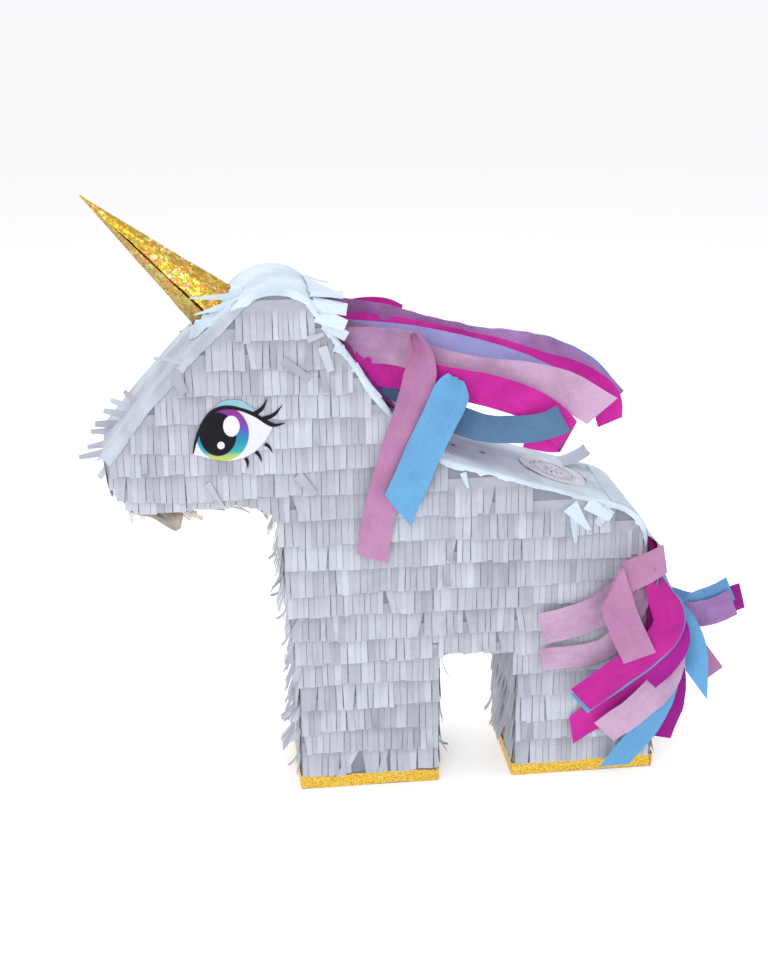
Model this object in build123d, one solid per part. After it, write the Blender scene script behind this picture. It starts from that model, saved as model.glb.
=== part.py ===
"""Unicorn pinata: a flat-sided cardboard body covered in cut tissue, with a horn, a mane and a tail.

Frame: +Z up, +X from head to tail, -Y is the animal's left side. The origin is on the floor,
under the centre of the whole object. Millimetres.
"""

import os
from math import atan2, cos, degrees, hypot, radians, sin

from build123d import *

# Driving dimensions
CARD = 3.0                 # corrugated card
BODY_WIDTH = 100.0         # over the two side panels
LENGTH = 580.0             # from the nose's tissue whiskers to the tail's tips
TISSUE = 1.2               # smooth tissue on the edges
FRINGE = 2.5               # layered tissue on the sides
STREAMER = 1.0             # thickness allowed for one crepe streamer
STREAMER_WIDTH = 27.0
TOE_LINE = 15.0            # height where the fringe stops above the hoof band
CLEAR = 0.4                # gap between bodies that move apart
HALF = BODY_WIDTH / 2
INNER = HALF - CARD

# Corners of the side outline, as (x, z)
NOSE_TOP = (-274.0, 323.0)
FOREHEAD_MID = (-221.0, 384.0)
CROWN_FRONT = (-163.0, 441.0)
CROWN_TOP = (-133.0, 454.0)
CROWN_BACK = (-104.0, 442.0)
WITHERS = (-15.0, 313.0)
RUMP = (181.0, 252.5)
HEEL = (201.0, 0.0)
REAR_TOE = (72.0, 0.0)
BELLY_REAR = (72.0, 128.0)
BELLY_FRONT = (3.0, 130.0)
FRONT_HEEL = (3.0, 0.0)
TOE = (-120.0, 0.0)
CHEST_LOW = (-120.0, 110.0)
CHEST_HIGH = (-131.0, 205.0)
THROAT = (-131.0, 277.0)
CHIN = (-250.0, 273.0)
NOSE_MID = (-268.0, 296.0)
WITHERS_ROUNDING = 30.0    # from a corner to where its rounding starts
RUMP_ROUNDING = 27.0
THROAT_ROUNDING = 34.0

# Fill opening in the back, measured along the back from the end of the withers' rounding
DOOR_ALONG = 100.0
DOOR_RADIUS = 31.0
HOLE_RADIUS = 32.0
TAPE_SIZE = (9.0, 44.0, 0.4)

# Holes for a hanging cord, and the card that doubles the back round them
HANG_HOLE_RADIUS = 3.0
HANG_HOLES = (6.0, 34.0)
HANGER_LENGTH = 44.0
HANGER_WIDTH = 40.0

# Hoof bands
BAND = 1.0
BAND_LOW = 1.0
BAND_HIGH = 14.0

# Horn: six-sided rolled card, its base section as (up, across)
HORN_BASE = (-171.0, 421.0)
HORN_TIP = (-281.0, 522.0)
HORN_SECTION = ((25.0, 0.0), (13.0, -20.0), (-7.0, -23.0), (-24.0, 0.0), (-7.0, 23.0), (13.0, 20.0))
HORN_WALL = 1.2
HORN_ROOT_SHARE = 0.15     # how far the horn runs into the forehead before it is trimmed
HORN_TIP_SHARE = 0.05

# Eyes
EYE_THICK = 0.5
EYE_LEFT = (-202.0, 320.0)
EYE_TOP = (-178.0, 358.0)
EYE_RIGHT = (-128.0, 352.0)
EYE_BELOW = (-172.0, 309.0)

# Mane and tail
MANE_ROOT_THICK = 3.0
MANE_ROOT_MARGIN = 6.0
LOCK_WIDTH = 24.0
LOCK_FOLD = 48.0           # how far off the middle a lock folds over
TIE_CENTRE = (194.0, 0.0, 222.0)
TIE_SIZE = (12.0, 130.0, 16.0)
LANE = 1.3                 # from one tail streamer to the next, side by side
FIRST_LANE = HALF + FRINGE + 1.6


def plate(face, y_low, y_high):
    """A flat piece: a face drawn in (x, z), filled from y_low to y_high."""
    return extrude(Plane.XZ.offset(-y_high) * face, y_high - y_low)


def unit(a, b):
    """Direction from a to b."""
    far = hypot(b[0] - a[0], b[1] - a[1])
    return (b[0] - a[0]) / far, (b[1] - a[1]) / far


def step(point, way, distance):
    """The point moved along a direction."""
    return point[0] + way[0] * distance, point[1] + way[1] * distance


def centre_of(a, b, c):
    """Centre of the circle through three points."""
    ax, ay = a
    bx, by = b
    cx, cy = c
    d = 2 * (ax * (by - cy) + bx * (cy - ay) + cx * (ay - by))
    ux = ((ax**2 + ay**2) * (by - cy) + (bx**2 + by**2) * (cy - ay) + (cx**2 + cy**2) * (ay - by)) / d
    uy = ((ax**2 + ay**2) * (cx - bx) + (bx**2 + by**2) * (ax - cx) + (cx**2 + cy**2) * (bx - ax)) / d
    return ux, uy


def rounding(before, corner, after, distance):
    """Start, middle and end of the arc that rounds a corner, tangent to both its sides."""
    back = unit(corner, before)
    on = unit(corner, after)
    start = step(corner, back, distance)
    end = step(corner, on, distance)
    halfway = unit((0.0, 0.0), (back[0] + on[0], back[1] + on[1]))
    cos_half = back[0] * halfway[0] + back[1] * halfway[1]
    radius = distance * (1 - cos_half**2) ** 0.5 / cos_half
    middle = step(corner, halfway, distance / cos_half - radius)
    return start, middle, end


NAPE_LOW, WITHERS_MID, BACK_FRONT = rounding(CROWN_BACK, WITHERS, RUMP, WITHERS_ROUNDING)
BACK_REAR, RUMP_MID, RUMP_LOW = rounding(WITHERS, RUMP, HEEL, RUMP_ROUNDING)
THROAT_LOW, THROAT_MID, JAW_REAR = rounding(CHEST_HIGH, THROAT, CHIN, THROAT_ROUNDING)


def bent_band(points, depth):
    """A mitred band along points, on the right of the way for a positive depth."""
    ways = [unit(a, b) for a, b in zip(points, points[1:])]
    sides = [(z, -x) for x, z in ways]
    sides = [sides[0], *sides, sides[-1]]
    inner = []
    for point, one, two in zip(points, sides, sides[1:]):
        share = depth / (1 + one[0] * two[0] + one[1] * two[1])
        inner.append((point[0] + (one[0] + two[0]) * share, point[1] + (one[1] + two[1]) * share))
    return make_face(Polyline(*points, *reversed(inner), close=True))


def arc_band(a, m, b, depth):
    """A band along the arc a, m, b, on the right of the way for a positive depth."""
    centre = centre_of(a, m, b)
    turns_right = (m[0] - a[0]) * (b[1] - a[1]) - (m[1] - a[1]) * (b[0] - a[0]) < 0
    inward = depth if turns_right else -depth
    a2, m2, b2 = (step(p, unit(p, centre), inward) for p in (a, m, b))
    return make_face([ThreePointArc(a, m, b), Line(b, b2), ThreePointArc(b2, m2, a2), Line(a2, a)])


def outline():
    """The whole side outline, clockwise from the nose."""
    return make_face([
        ThreePointArc(NOSE_TOP, FOREHEAD_MID, CROWN_FRONT),
        ThreePointArc(CROWN_FRONT, CROWN_TOP, CROWN_BACK),
        Line(CROWN_BACK, NAPE_LOW),
        ThreePointArc(NAPE_LOW, WITHERS_MID, BACK_FRONT),
        Line(BACK_FRONT, BACK_REAR),
        ThreePointArc(BACK_REAR, RUMP_MID, RUMP_LOW),
        Polyline(RUMP_LOW, HEEL, REAR_TOE, BELLY_REAR, BELLY_FRONT, FRONT_HEEL, TOE, CHEST_LOW,
                 CHEST_HIGH, THROAT_LOW),
        ThreePointArc(THROAT_LOW, THROAT_MID, JAW_REAR),
        Line(JAW_REAR, CHIN),
        ThreePointArc(CHIN, NOSE_MID, NOSE_TOP),
    ])


def back_plane(along, rise=0.0):
    """A plane on the back, its z axis square to the back and its x axis toward the tail."""
    tx, tz = unit(BACK_FRONT, BACK_REAR)
    x, z = step(step(BACK_FRONT, (tx, tz), along), (-tz, tx), rise)
    return Plane(origin=(x, 0, z), x_dir=(tx, 0, tz), z_dir=(-tz, 0, tx))


def back_disc(along, radius, rise_low, rise_high):
    """A disc standing square to the back."""
    disc = back_plane(along, rise_low) * Circle(radius)
    return extrude(disc, rise_high - rise_low)


def back_holes(shape):
    """The shape with the hanging holes and the fill opening cut through it."""
    for along in HANG_HOLES:
        shape -= back_disc(along, HANG_HOLE_RADIUS, -3 * CARD, CARD)
    return shape - back_disc(DOOR_ALONG, HOLE_RADIUS, -2 * CARD, CARD)


def without(shape, cutters):
    """The shape with other shapes cut away."""
    for cutter in cutters:
        shape = shape - cutter
    return shape


def shell_strips(body):
    """The card strips round the edge; each one butts on the strips before it."""
    faces = {
        "forehead_strip": arc_band(NOSE_TOP, FOREHEAD_MID, CROWN_FRONT, CARD),
        "crown_strip": arc_band(CROWN_FRONT, CROWN_TOP, CROWN_BACK, CARD),
        "back_strip": bent_band((BACK_FRONT, BACK_REAR), CARD),
        "nape_strip": bent_band((CROWN_BACK, NAPE_LOW), CARD)
        + arc_band(NAPE_LOW, WITHERS_MID, BACK_FRONT, CARD),
        "rump_strip": arc_band(BACK_REAR, RUMP_MID, RUMP_LOW, CARD),
        "rear_sole": bent_band((HEEL, REAR_TOE), CARD),
        "rear_edge_strip": bent_band((RUMP_LOW, HEEL), CARD),
        "rear_leg_inner_strip": bent_band((REAR_TOE, BELLY_REAR), CARD),
        "belly_strip": bent_band((BELLY_REAR, BELLY_FRONT), CARD),
        "front_sole": bent_band((FRONT_HEEL, TOE), CARD),
        "front_leg_inner_strip": bent_band((BELLY_FRONT, FRONT_HEEL), CARD),
        "chest_strip": bent_band((TOE, CHEST_LOW, CHEST_HIGH, THROAT_LOW), CARD),
        "throat_strip": arc_band(THROAT_LOW, THROAT_MID, JAW_REAR, CARD),
        "jaw_strip": bent_band((JAW_REAR, CHIN), CARD),
        "nose_strip": arc_band(CHIN, NOSE_MID, NOSE_TOP, CARD),
    }
    made = {}
    for name, face in faces.items():
        made[name] = without(plate(face & body, -INNER, INNER), made.values())
    made["back_strip"] = back_holes(made["back_strip"])
    return made


def side_pieces(body):
    """Side panels, the fringe on them and the printed eyes."""
    low_x, _, high_x, high_z = NOSE_TOP[0], 0.0, HEEL[0], CROWN_TOP[1]
    above_toe = make_face(Polyline((low_x, TOE_LINE), (high_x, TOE_LINE), (high_x, high_z),
                                   (low_x, high_z), close=True))
    fringe = body & above_toe
    eye = make_face([
        ThreePointArc(EYE_LEFT, EYE_TOP, EYE_RIGHT),
        ThreePointArc(EYE_RIGHT, EYE_BELOW, EYE_LEFT),
    ])
    face = HALF + FRINGE
    return {
        "left_side_panel": plate(body, -HALF, -INNER),
        "right_side_panel": plate(body, INNER, HALF),
        "left_fringe": plate(fringe, -face, -HALF),
        "right_fringe": plate(fringe, HALF, face),
        "left_eye": plate(eye, -face - EYE_THICK, -face),
        "right_eye": plate(eye, face, face + EYE_THICK),
    }


def edge_tissue(body):
    """Tissue glued over the edge strips, outside the outline."""
    heel_line = step(HEEL, unit(HEEL, RUMP_LOW), TOE_LINE)
    bands = {
        "forehead_tissue": arc_band(NOSE_TOP, FOREHEAD_MID, CROWN_FRONT, -TISSUE),
        "crown_tissue": arc_band(CROWN_FRONT, CROWN_TOP, CROWN_BACK, -TISSUE),
        "nape_tissue": bent_band((CROWN_BACK, NAPE_LOW), -TISSUE)
        + arc_band(NAPE_LOW, WITHERS_MID, BACK_FRONT, -TISSUE),
        "back_tissue": bent_band((BACK_FRONT, BACK_REAR), -TISSUE)
        + arc_band(BACK_REAR, RUMP_MID, RUMP_LOW, -TISSUE),
        "rear_fringe": bent_band((RUMP_LOW, heel_line), -TISSUE),
        "belly_fringe": bent_band(((REAR_TOE[0], TOE_LINE), BELLY_REAR, BELLY_FRONT,
                                   (FRONT_HEEL[0], TOE_LINE)), -TISSUE),
        "chest_fringe": bent_band(((TOE[0], TOE_LINE), CHEST_LOW, CHEST_HIGH, THROAT_LOW), -TISSUE),
        "jaw_fringe": arc_band(THROAT_LOW, THROAT_MID, JAW_REAR, -TISSUE)
        + bent_band((JAW_REAR, CHIN), -TISSUE),
        "nose_fringe": arc_band(CHIN, NOSE_MID, NOSE_TOP, -TISSUE),
    }
    made = {}
    for name, band in bands.items():
        made[name] = without(plate(band - body, -HALF, HALF), made.values())
    made["back_tissue"] = back_holes(made["back_tissue"])
    return made


def hanger():
    """Card glued under the back, doubling it round the hanging holes."""
    middle = sum(HANG_HOLES) / 2
    card = extrude(back_plane(middle, -2 * CARD) * Rectangle(HANGER_LENGTH, HANGER_WIDTH), CARD)
    return back_holes(card)


def fill_opening():
    """The round door in the back, its printed tissue disc and its tape hinge."""
    length, width, thick = TAPE_SIZE
    tape_plane = back_plane(DOOR_ALONG + HOLE_RADIUS + 1.0 + length / 2, TISSUE)
    return {
        "fill_door": back_disc(DOOR_ALONG, DOOR_RADIUS, -CARD, 0.0),
        "fill_stamp": back_disc(DOOR_ALONG, DOOR_RADIUS, 0.0, TISSUE),
        "door_tape": extrude(tape_plane * Rectangle(length, width), thick),
    }


def hoof_band(x_low, x_high):
    """Glitter paper round the foot of one leg."""
    outer = Box(x_high - x_low + 2 * BAND, BODY_WIDTH + 2 * BAND, BAND_HIGH - BAND_LOW)
    inner = Box(x_high - x_low, BODY_WIDTH, BAND_HIGH)
    return Pos((x_low + x_high) / 2, 0, (BAND_LOW + BAND_HIGH) / 2) * (outer - inner)


def horn_solid(wall):
    """A six-sided cone from below the forehead to the tip, pulled in by a wall thickness."""
    axis = Vector(HORN_TIP[0] - HORN_BASE[0], 0, HORN_TIP[1] - HORN_BASE[1])
    up = Vector(axis.Z, 0, -axis.X).normalized()
    root = Vector(HORN_BASE[0], 0, HORN_BASE[1]) - axis * HORN_ROOT_SHARE
    tip = Vector(HORN_TIP[0], 0, HORN_TIP[1]) - axis.normalized() * wall * 4
    tip_share = HORN_TIP_SHARE if wall == 0 else HORN_TIP_SHARE / 2
    rings = []
    for centre, share in ((root, 1 + HORN_ROOT_SHARE), (tip, tip_share)):
        corners = []
        for a, b in HORN_SECTION:
            scale = share * (1 - wall / hypot(a, b))
            corners.append(centre + up * a * scale + Vector(0, b * scale, 0))
        rings.append(Wire.make_polygon(corners, close=True))
    return Solid.make_loft(rings, ruled=True)


def horn_pieces(body):
    """The horn and the tissue tabs that tie it to the forehead."""
    forehead = arc_band(NOSE_TOP, FOREHEAD_MID, CROWN_FRONT, -TISSUE)
    crown = arc_band(CROWN_FRONT, CROWN_TOP, CROWN_BACK, -TISSUE)
    head = plate(body + forehead + crown, -HALF, HALF)
    outer = horn_solid(0.0)
    trimmed = (outer - horn_solid(HORN_WALL)) - head
    horn = max(trimmed.solids(), key=lambda solid: solid.volume)
    tabs = arc_band(NOSE_TOP, FOREHEAD_MID, CROWN_FRONT, -TISSUE - BAND) & (Pos(*HORN_BASE) * Circle(34.0))
    return {"horn": horn, "horn_tabs": plate(tabs, -30.0, 30.0) - head - outer}


def muzzle_whiskers(body):
    """Stiff tissue fingers that stand out round the nose."""
    nose = arc_band(CHIN, NOSE_MID, NOSE_TOP, -TISSUE)
    forehead = arc_band(NOSE_TOP, FOREHEAD_MID, CROWN_FRONT, -TISSUE)
    ahead = Pos(-LENGTH / 2 - 50.0, NOSE_TOP[1]) * Rectangle(100.0, 200.0)
    count = 9
    fingers = []
    for index in range(count):
        share = index / (count - 1)
        angle = radians(118 + 92 * share)
        base = (NOSE_TOP[0] + 16 - 12 * share, NOSE_TOP[1] + 14 - 40 * share)
        reach = 25.0 + 3.0 * (index % 3)
        tip = (base[0] + reach * cos(angle), base[1] + reach * sin(angle))
        y = -32.0 + 8.0 * index
        finger = bent_band((base, tip), 5.0) - body - nose - forehead - ahead
        fingers.append(plate(max(finger.faces(), key=lambda face: face.area), y, y + 1.0))
    return fingers


def chin_flap():
    """A loose tissue strip that sags under the jaw."""
    x, z = CHIN
    sag = arc_band((x + 4, z - 3), (x + 27, z - 15), (x + 52, z - 4), -1.0)
    return plate(sag, -HALF, -HALF + 34)


def streamer(points, y, width=STREAMER_WIDTH):
    """A flat crepe streamer along points in (x, z), in the plane at y."""
    flat = Sketch()
    for (x0, z0), (x1, z1) in zip(points, points[1:]):
        turn = degrees(atan2(z1 - z0, x1 - x0))
        band = Rot(0, 0, turn) * Rectangle(hypot(x1 - x0, z1 - z0), width)
        flat += Pos((x0 + x1) / 2, (z0 + z1) / 2) * band
    for x, z in points[1:-1]:
        flat += Pos(x, z) * Circle(width / 2)
    return plate(flat, y - STREAMER / 2, y + STREAMER / 2)


def mane_pieces():
    """The root strip along the nape and the streamers that stand off it."""
    way = unit(CROWN_BACK, NAPE_LOW)
    out = (-way[1], way[0])
    length = hypot(NAPE_LOW[0] - CROWN_BACK[0], NAPE_LOW[1] - CROWN_BACK[1])

    def nape(along, rise):
        return step(step(CROWN_BACK, way, along), out, rise)

    low = TISSUE + CLEAR
    high = low + MANE_ROOT_THICK
    first = MANE_ROOT_MARGIN
    last = length - MANE_ROOT_MARGIN
    far = 2 * MANE_ROOT_MARGIN + length
    root = Polyline(nape(first, low), nape(last, low), nape(last, high), nape(first, high), close=True)
    behind = Polyline(nape(-length, -length), nape(far, -length), nape(far, high), nape(-length, high),
                      close=True)
    head = plate(make_face(behind), -HALF, HALF)
    routes = {
        "mane_lilac": ([(-90, 428), (-19, 416), (41, 402), (97, 388), (137, 369), (157, 354)], -5.0),
        "mane_magenta": ([(-80, 412), (-12, 404), (39, 393), (90, 385), (128, 372), (149, 344)], -17.0),
        "mane_pale_pink": ([(-82, 410), (-31, 404), (19, 391), (87, 369), (138, 341)], -30.0),
        "mane_blue": ([(-76, 402), (-15, 398), (44, 388), (100, 382), (132, 366), (157, 344)], 8.0),
        "mane_magenta_loop": ([(-66, 388), (-1, 377), (46, 364), (89, 351), (115, 331)], -45.0),
        "mane_blue_loop": ([(-56, 376), (-14, 358), (14, 340), (53, 332), (100, 334)], -38.0),
    }
    far_routes = [
        ([(-80, 410), (-24, 402), (30, 386), (84, 366), (130, 342)], 24.0),
        ([(-66, 390), (-8, 376), (44, 358), (86, 338)], 40.0),
    ]
    made = {"mane_root": plate(make_face(root), -46.0, 46.0)}
    for name, (points, y) in routes.items():
        made[name] = streamer(points, y) - head
    made["mane_far_side"] = [streamer(points, y) - head for points, y in far_routes]
    return made


def lock(points, y):
    """A streamer folded over the mane's edge to hang beside the neck, at y."""
    side = 1 if y > 0 else -1
    x, z = points[0]
    reach = abs(y) - LOCK_FOLD
    fold = Pos(x, side * (LOCK_FOLD + reach / 2), z) * Box(LOCK_WIDTH, reach, STREAMER)
    return streamer(points, y, LOCK_WIDTH) + fold


def tail_pieces():
    """The tie across the rump and the streamers that hang from it."""
    tie = Pos(*TIE_CENTRE) * Box(*TIE_SIZE)
    lane = [-FIRST_LANE - LANE * index for index in range(9)]
    full, medium, narrow = STREAMER_WIDTH, 26.0, 22.0
    routes = {
        "tail_pink": [([(197, 216), (146, 198), (175, 128)], lane[8], medium),
                      ([(193, 212), (144, 168), (92, 150)], lane[2], medium),
                      ([(193, 212), (160, 134), (94, 129)], lane[1], 14.0)],
        "tail_magenta_wide": [([(196, 214), (206, 172), (213, 152), (188, 123), (131, 82)], lane[7], full)],
        "tail_magenta_short": [([(198, 214), (216, 150), (183, 86)], lane[5], medium),
                               ([(218, 214), (226, 80), (214, 24)], -34.0, narrow),
                               ([(194, 214), (166, 75), (124, 47)], lane[0], medium),
                               ([(200, 216), (255, 142), (LENGTH / 2, 142)], -8.0, narrow)],
        "tail_blue": [([(196, 214), (210, 158), (181, 101), (130, 72)], lane[6], medium),
                      ([(200, 214), (209, 70), (168, 16)], lane[3], narrow),
                      ([(200, 216), (240, 146), (277, 154)], -20.0, narrow)],
        "tail_blue_loop": [([(212, 214), (231, 162), (243, 132), (240, 84)], -47.0, narrow)],
        "tail_pale": [([(198, 214), (214, 96), (154, 46)], lane[4], medium),
                      ([(218, 214), (248, 113), (262, 84)], -28.0, narrow),
                      ([(218, 214), (238, 134), (270, 132)], -24.0, narrow)],
        "tail_far_side": [([(197, 214), (160, 176), (148, 110)], -lane[8], medium),
                          ([(197, 214), (190, 130), (150, 84)], -lane[4], medium),
                          ([(218, 214), (226, 130), (219, 60)], 30.0, medium)],
    }
    made = {"tail_tie": tie}
    for name, group in routes.items():
        made[name] = [streamer(*route) - tie for route in group]
    return made


def solids_of(shape):
    """The closed solids of a shape or of a list of shapes."""
    shapes = shape if isinstance(shape, list) else [shape]
    return [solid for one in shapes for solid in one.solids()]


def build():
    """Every node of the pinata, by name."""
    body = outline()
    nodes = {
        **shell_strips(body),
        **side_pieces(body),
        **edge_tissue(body),
        "hanger_card": hanger(),
        **fill_opening(),
        "hoof_bands": [hoof_band(TOE[0], FRONT_HEEL[0]), hoof_band(REAR_TOE[0], HEEL[0])],
        **horn_pieces(body),
        "muzzle_whiskers": muzzle_whiskers(body),
        "chin_flap": chin_flap(),
        **mane_pieces(),
        "near_pink_lock": lock([(-13, 409), (-24, 359), (-50, 287), (-58, 224)], -57.0),
        "near_blue_lock": lock([(8, 378), (-7, 340), (-38, 268)], -59.5),
        "far_pink_lock": lock([(-13, 409), (-20, 352), (-34, 262)], 57.0),
        "far_blue_lock": lock([(8, 378), (4, 330), (-16, 250)], 59.5),
        **tail_pieces(),
    }
    return nodes


os.makedirs("parts", exist_ok=True)
for node, shape in build().items():
    export_step(Compound(children=solids_of(shape)), f"parts/{node}.step")
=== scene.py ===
"""Looks of the unicorn pinata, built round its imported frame.

Metres, in the CAD frame: +Z up, +X from head to tail, -Y is the animal's left side.
"""
import math

import bpy
import numpy as np
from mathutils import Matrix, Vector
from mathutils.geometry import delaunay_2d_cdt


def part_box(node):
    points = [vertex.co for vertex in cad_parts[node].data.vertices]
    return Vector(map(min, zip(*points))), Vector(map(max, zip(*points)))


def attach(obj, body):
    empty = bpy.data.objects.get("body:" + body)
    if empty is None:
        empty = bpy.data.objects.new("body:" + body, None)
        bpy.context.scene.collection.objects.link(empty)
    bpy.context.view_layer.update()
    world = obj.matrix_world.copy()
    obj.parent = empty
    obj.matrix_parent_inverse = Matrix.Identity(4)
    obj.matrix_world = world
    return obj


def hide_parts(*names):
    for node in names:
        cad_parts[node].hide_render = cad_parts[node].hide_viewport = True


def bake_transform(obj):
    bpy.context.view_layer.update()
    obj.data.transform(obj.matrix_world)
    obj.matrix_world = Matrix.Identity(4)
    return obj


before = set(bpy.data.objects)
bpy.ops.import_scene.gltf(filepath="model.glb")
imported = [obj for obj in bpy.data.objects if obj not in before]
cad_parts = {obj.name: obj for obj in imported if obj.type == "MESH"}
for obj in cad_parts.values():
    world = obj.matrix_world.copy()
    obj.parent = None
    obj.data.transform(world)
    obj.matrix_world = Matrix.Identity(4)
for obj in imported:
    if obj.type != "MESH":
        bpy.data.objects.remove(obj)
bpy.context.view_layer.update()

MM = 0.001
SEED = 7

# Tissue fringe
ROW_PITCH = 0.0224         # from one strip's slit line to the next
FINGER_WIDTH = 0.0053
FINGER_LENGTH = 0.0262
FINGER_HANG = FINGER_LENGTH * 0.98     # from a slit line down to the tips
FINGER_STEPS = 7           # quads down a finger
HEADING = 0.007            # uncut part of a strip, above its fingers
LINING_HEIGHT = 0.0003     # how far the smooth lining stands off the card
ROOT_HEIGHT = 0.0006       # and the fingers, at their slits
TIP_HEIGHT = 0.0020        # and at their tips
OVERHANG = 0.0022          # how far fingers may pass the body's outline

# Shares of the fingers that are not like the rest
GROUP_ENDS = 0.45          # after these, the next ones hang another way
TORN = 0.007
STRAY = 0.07
CURLED = 0.035
TWISTED = 0.12

# Thickness the sheets are drawn at
TISSUE = 0.00016
CREPE = 0.00022
FILM = 0.0004


def stacked(*parts):
    """Points, or places in a plane, from coordinates that broadcast together."""
    return np.stack(np.broadcast_arrays(*parts), -1)


def unit(rows):
    """Vectors along the last axis, brought to length 1."""
    return rows / np.maximum(np.linalg.norm(rows, axis=-1, keepdims=True), 1e-12)


def line_distances(points):
    """How far along a line of points each one is."""
    return np.append(0.0, np.cumsum(np.linalg.norm(np.diff(points, axis=0), axis=1)))


# ---------------------------------------------------------------- the frame's side outline

def twice_area(loop):
    """Twice the area inside a loop of (x, z) points, below 0 where it runs clockwise."""
    following = np.roll(loop, -1, axis=0)
    return float((loop[:, 0] * following[:, 1] - following[:, 0] * loop[:, 1]).sum())


def outline_loop(node, y):
    """The (x, z) points round a flat CAD node's face at y, clockwise seen from the left side."""
    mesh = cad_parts[node].data
    key = {}
    place = []
    for vertex in mesh.vertices:
        if abs(vertex.co.y - y) < 1e-5:
            spot = (round(vertex.co.x, 6), round(vertex.co.z, 6))
            key.setdefault(spot, len(key))
            place.append(vertex.index)
    index = {v: key[(round(mesh.vertices[v].co.x, 6), round(mesh.vertices[v].co.z, 6))] for v in place}
    used = {}
    for polygon in mesh.polygons:
        if all(v in index for v in polygon.vertices):
            ring = [index[v] for v in polygon.vertices]
            for a, b in zip(ring, ring[1:] + ring[:1]):
                used[(a, b)] = used.get((a, b), 0) + 1
    follow = {a: b for a, b in used if (b, a) not in used}
    spots = {number: spot for spot, number in key.items()}
    start = next(iter(follow))
    order = [start]
    while follow[order[-1]] != start:
        order.append(follow[order[-1]])
    loop = np.array([spots[number] for number in order])
    return loop if twice_area(loop) < 0 else loop[::-1].copy()


FACE = -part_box("left_side_panel")[0].y          # half the body's width, to the card's face
OUTLINE = outline_loop("left_side_panel", -FACE)


def corner(x, z):
    """The outline point nearest (x, z)."""
    return int(np.argmin(np.hypot(OUTLINE[:, 0] - x, OUTLINE[:, 1] - z)))


def low(node):
    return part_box(node)[0]


def high(node):
    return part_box(node)[1]


NOSE_TOP = corner(low("nose_strip").x, high("nose_strip").z)
CROWN_FRONT = corner(low("crown_strip").x, low("crown_tissue").z)
CROWN_BACK = corner(high("crown_strip").x, high("nape_strip").z)
BACK_FRONT = corner(low("back_tissue").x, high("back_strip").z)
RUMP_LOW = corner(high("rump_strip").x, high("rear_edge_strip").z)
HEEL = corner(high("rear_sole").x, 0.0)
REAR_TOE = corner(low("rear_sole").x, 0.0)
BELLY_REAR = corner(low("rear_leg_inner_strip").x, high("rear_leg_inner_strip").z)
BELLY_FRONT = corner(high("front_leg_inner_strip").x, high("front_leg_inner_strip").z)
FRONT_HEEL = corner(high("front_sole").x, 0.0)
TOE = corner(low("front_sole").x, 0.0)
THROAT_LOW = corner(low("chest_strip").x, high("chest_strip").z)
CHIN = corner(low("jaw_strip").x, low("jaw_strip").z)


class Edge:
    """A stretch of the outline, by distance from its first point, with its outward side."""

    def __init__(self, first, last, down=False):
        count = len(OUTLINE)
        steps = (last - first) % count
        points = np.array([OUTLINE[(first + k) % count] for k in range(steps + 1)])
        along = np.diff(points, axis=0)
        length = np.hypot(along[:, 0], along[:, 1])
        points = points[np.append(True, length > 1e-7)]
        along = np.diff(points, axis=0)
        length = np.hypot(along[:, 0], along[:, 1])
        out = np.stack([-along[:, 1], along[:, 0]], 1) / length[:, None]
        corner_out = np.vstack([out[:1], out[:-1] + out[1:], out[-1:]])
        corner_out /= np.hypot(corner_out[:, 0], corner_out[:, 1])[:, None]
        self.s = np.append(0.0, np.cumsum(length))
        self.points, self.out = points, corner_out
        self.length = float(self.s[-1])
        if down:
            self.s = self.length - self.s[::-1]
            self.points, self.out = points[::-1], corner_out[::-1]

    def at(self, s):
        """Points and outward directions, as (x, z), at distances s; past the ends it runs straight on."""
        s = np.asarray(s, float)
        inside = np.clip(s, 0.0, self.length)
        spot = np.stack([np.interp(inside, self.s, self.points[:, k]) for k in (0, 1)], -1)
        out = np.stack([np.interp(inside, self.s, self.out[:, k]) for k in (0, 1)], -1)
        out /= np.linalg.norm(out, axis=-1, keepdims=True)
        first = self.points[1] - self.points[0]
        last = self.points[-1] - self.points[-2]
        spot = spot + np.minimum(s, 0.0)[..., None] * first / np.linalg.norm(first)
        spot = spot + np.maximum(s - self.length, 0.0)[..., None] * last / np.linalg.norm(last)
        return spot, out

    def place(self, across, s, height):
        """3-D points on this edge of the body: across is y, height stands off the card."""
        spot, out = self.at(s)
        flat = spot + out * np.asarray(height)[..., None]
        return stacked(flat[..., 0], across, flat[..., 1])

    def nearest(self, x, z):
        """How far along the edge its nearest point to (x, z) is."""
        s = np.linspace(0, self.length, 2000)
        spot = self.at(s)[0]
        return float(s[np.argmin(np.hypot(spot[:, 0] - x, spot[:, 1] - z))])


def inside_outline(x, z):
    """Whether points are inside the side outline."""
    x, z = np.asarray(x, float), np.asarray(z, float)
    hit = np.zeros(x.shape, bool)
    for (x0, z0), (x1, z1) in zip(OUTLINE, np.roll(OUTLINE, -1, axis=0)):
        if z0 == z1:
            continue
        crosses = (z0 > z) != (z1 > z)
        hit ^= crosses & (x < (x1 - x0) * (z - z0) / (z1 - z0) + x0)
    return hit


def outline_distance(x, z):
    """Distance to the side outline, positive inside it."""
    x, z = np.asarray(x, float), np.asarray(z, float)
    nearest = np.full(x.shape, 1e9)
    for (x0, z0), (x1, z1) in zip(OUTLINE, np.roll(OUTLINE, -1, axis=0)):
        dx, dz = x1 - x0, z1 - z0
        t = np.clip(((x - x0) * dx + (z - z0) * dz) / max(dx * dx + dz * dz, 1e-12), 0, 1)
        nearest = np.minimum(nearest, np.hypot(x - x0 - t * dx, z - z0 - t * dz))
    return np.where(inside_outline(x, z), nearest, -nearest)


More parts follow.
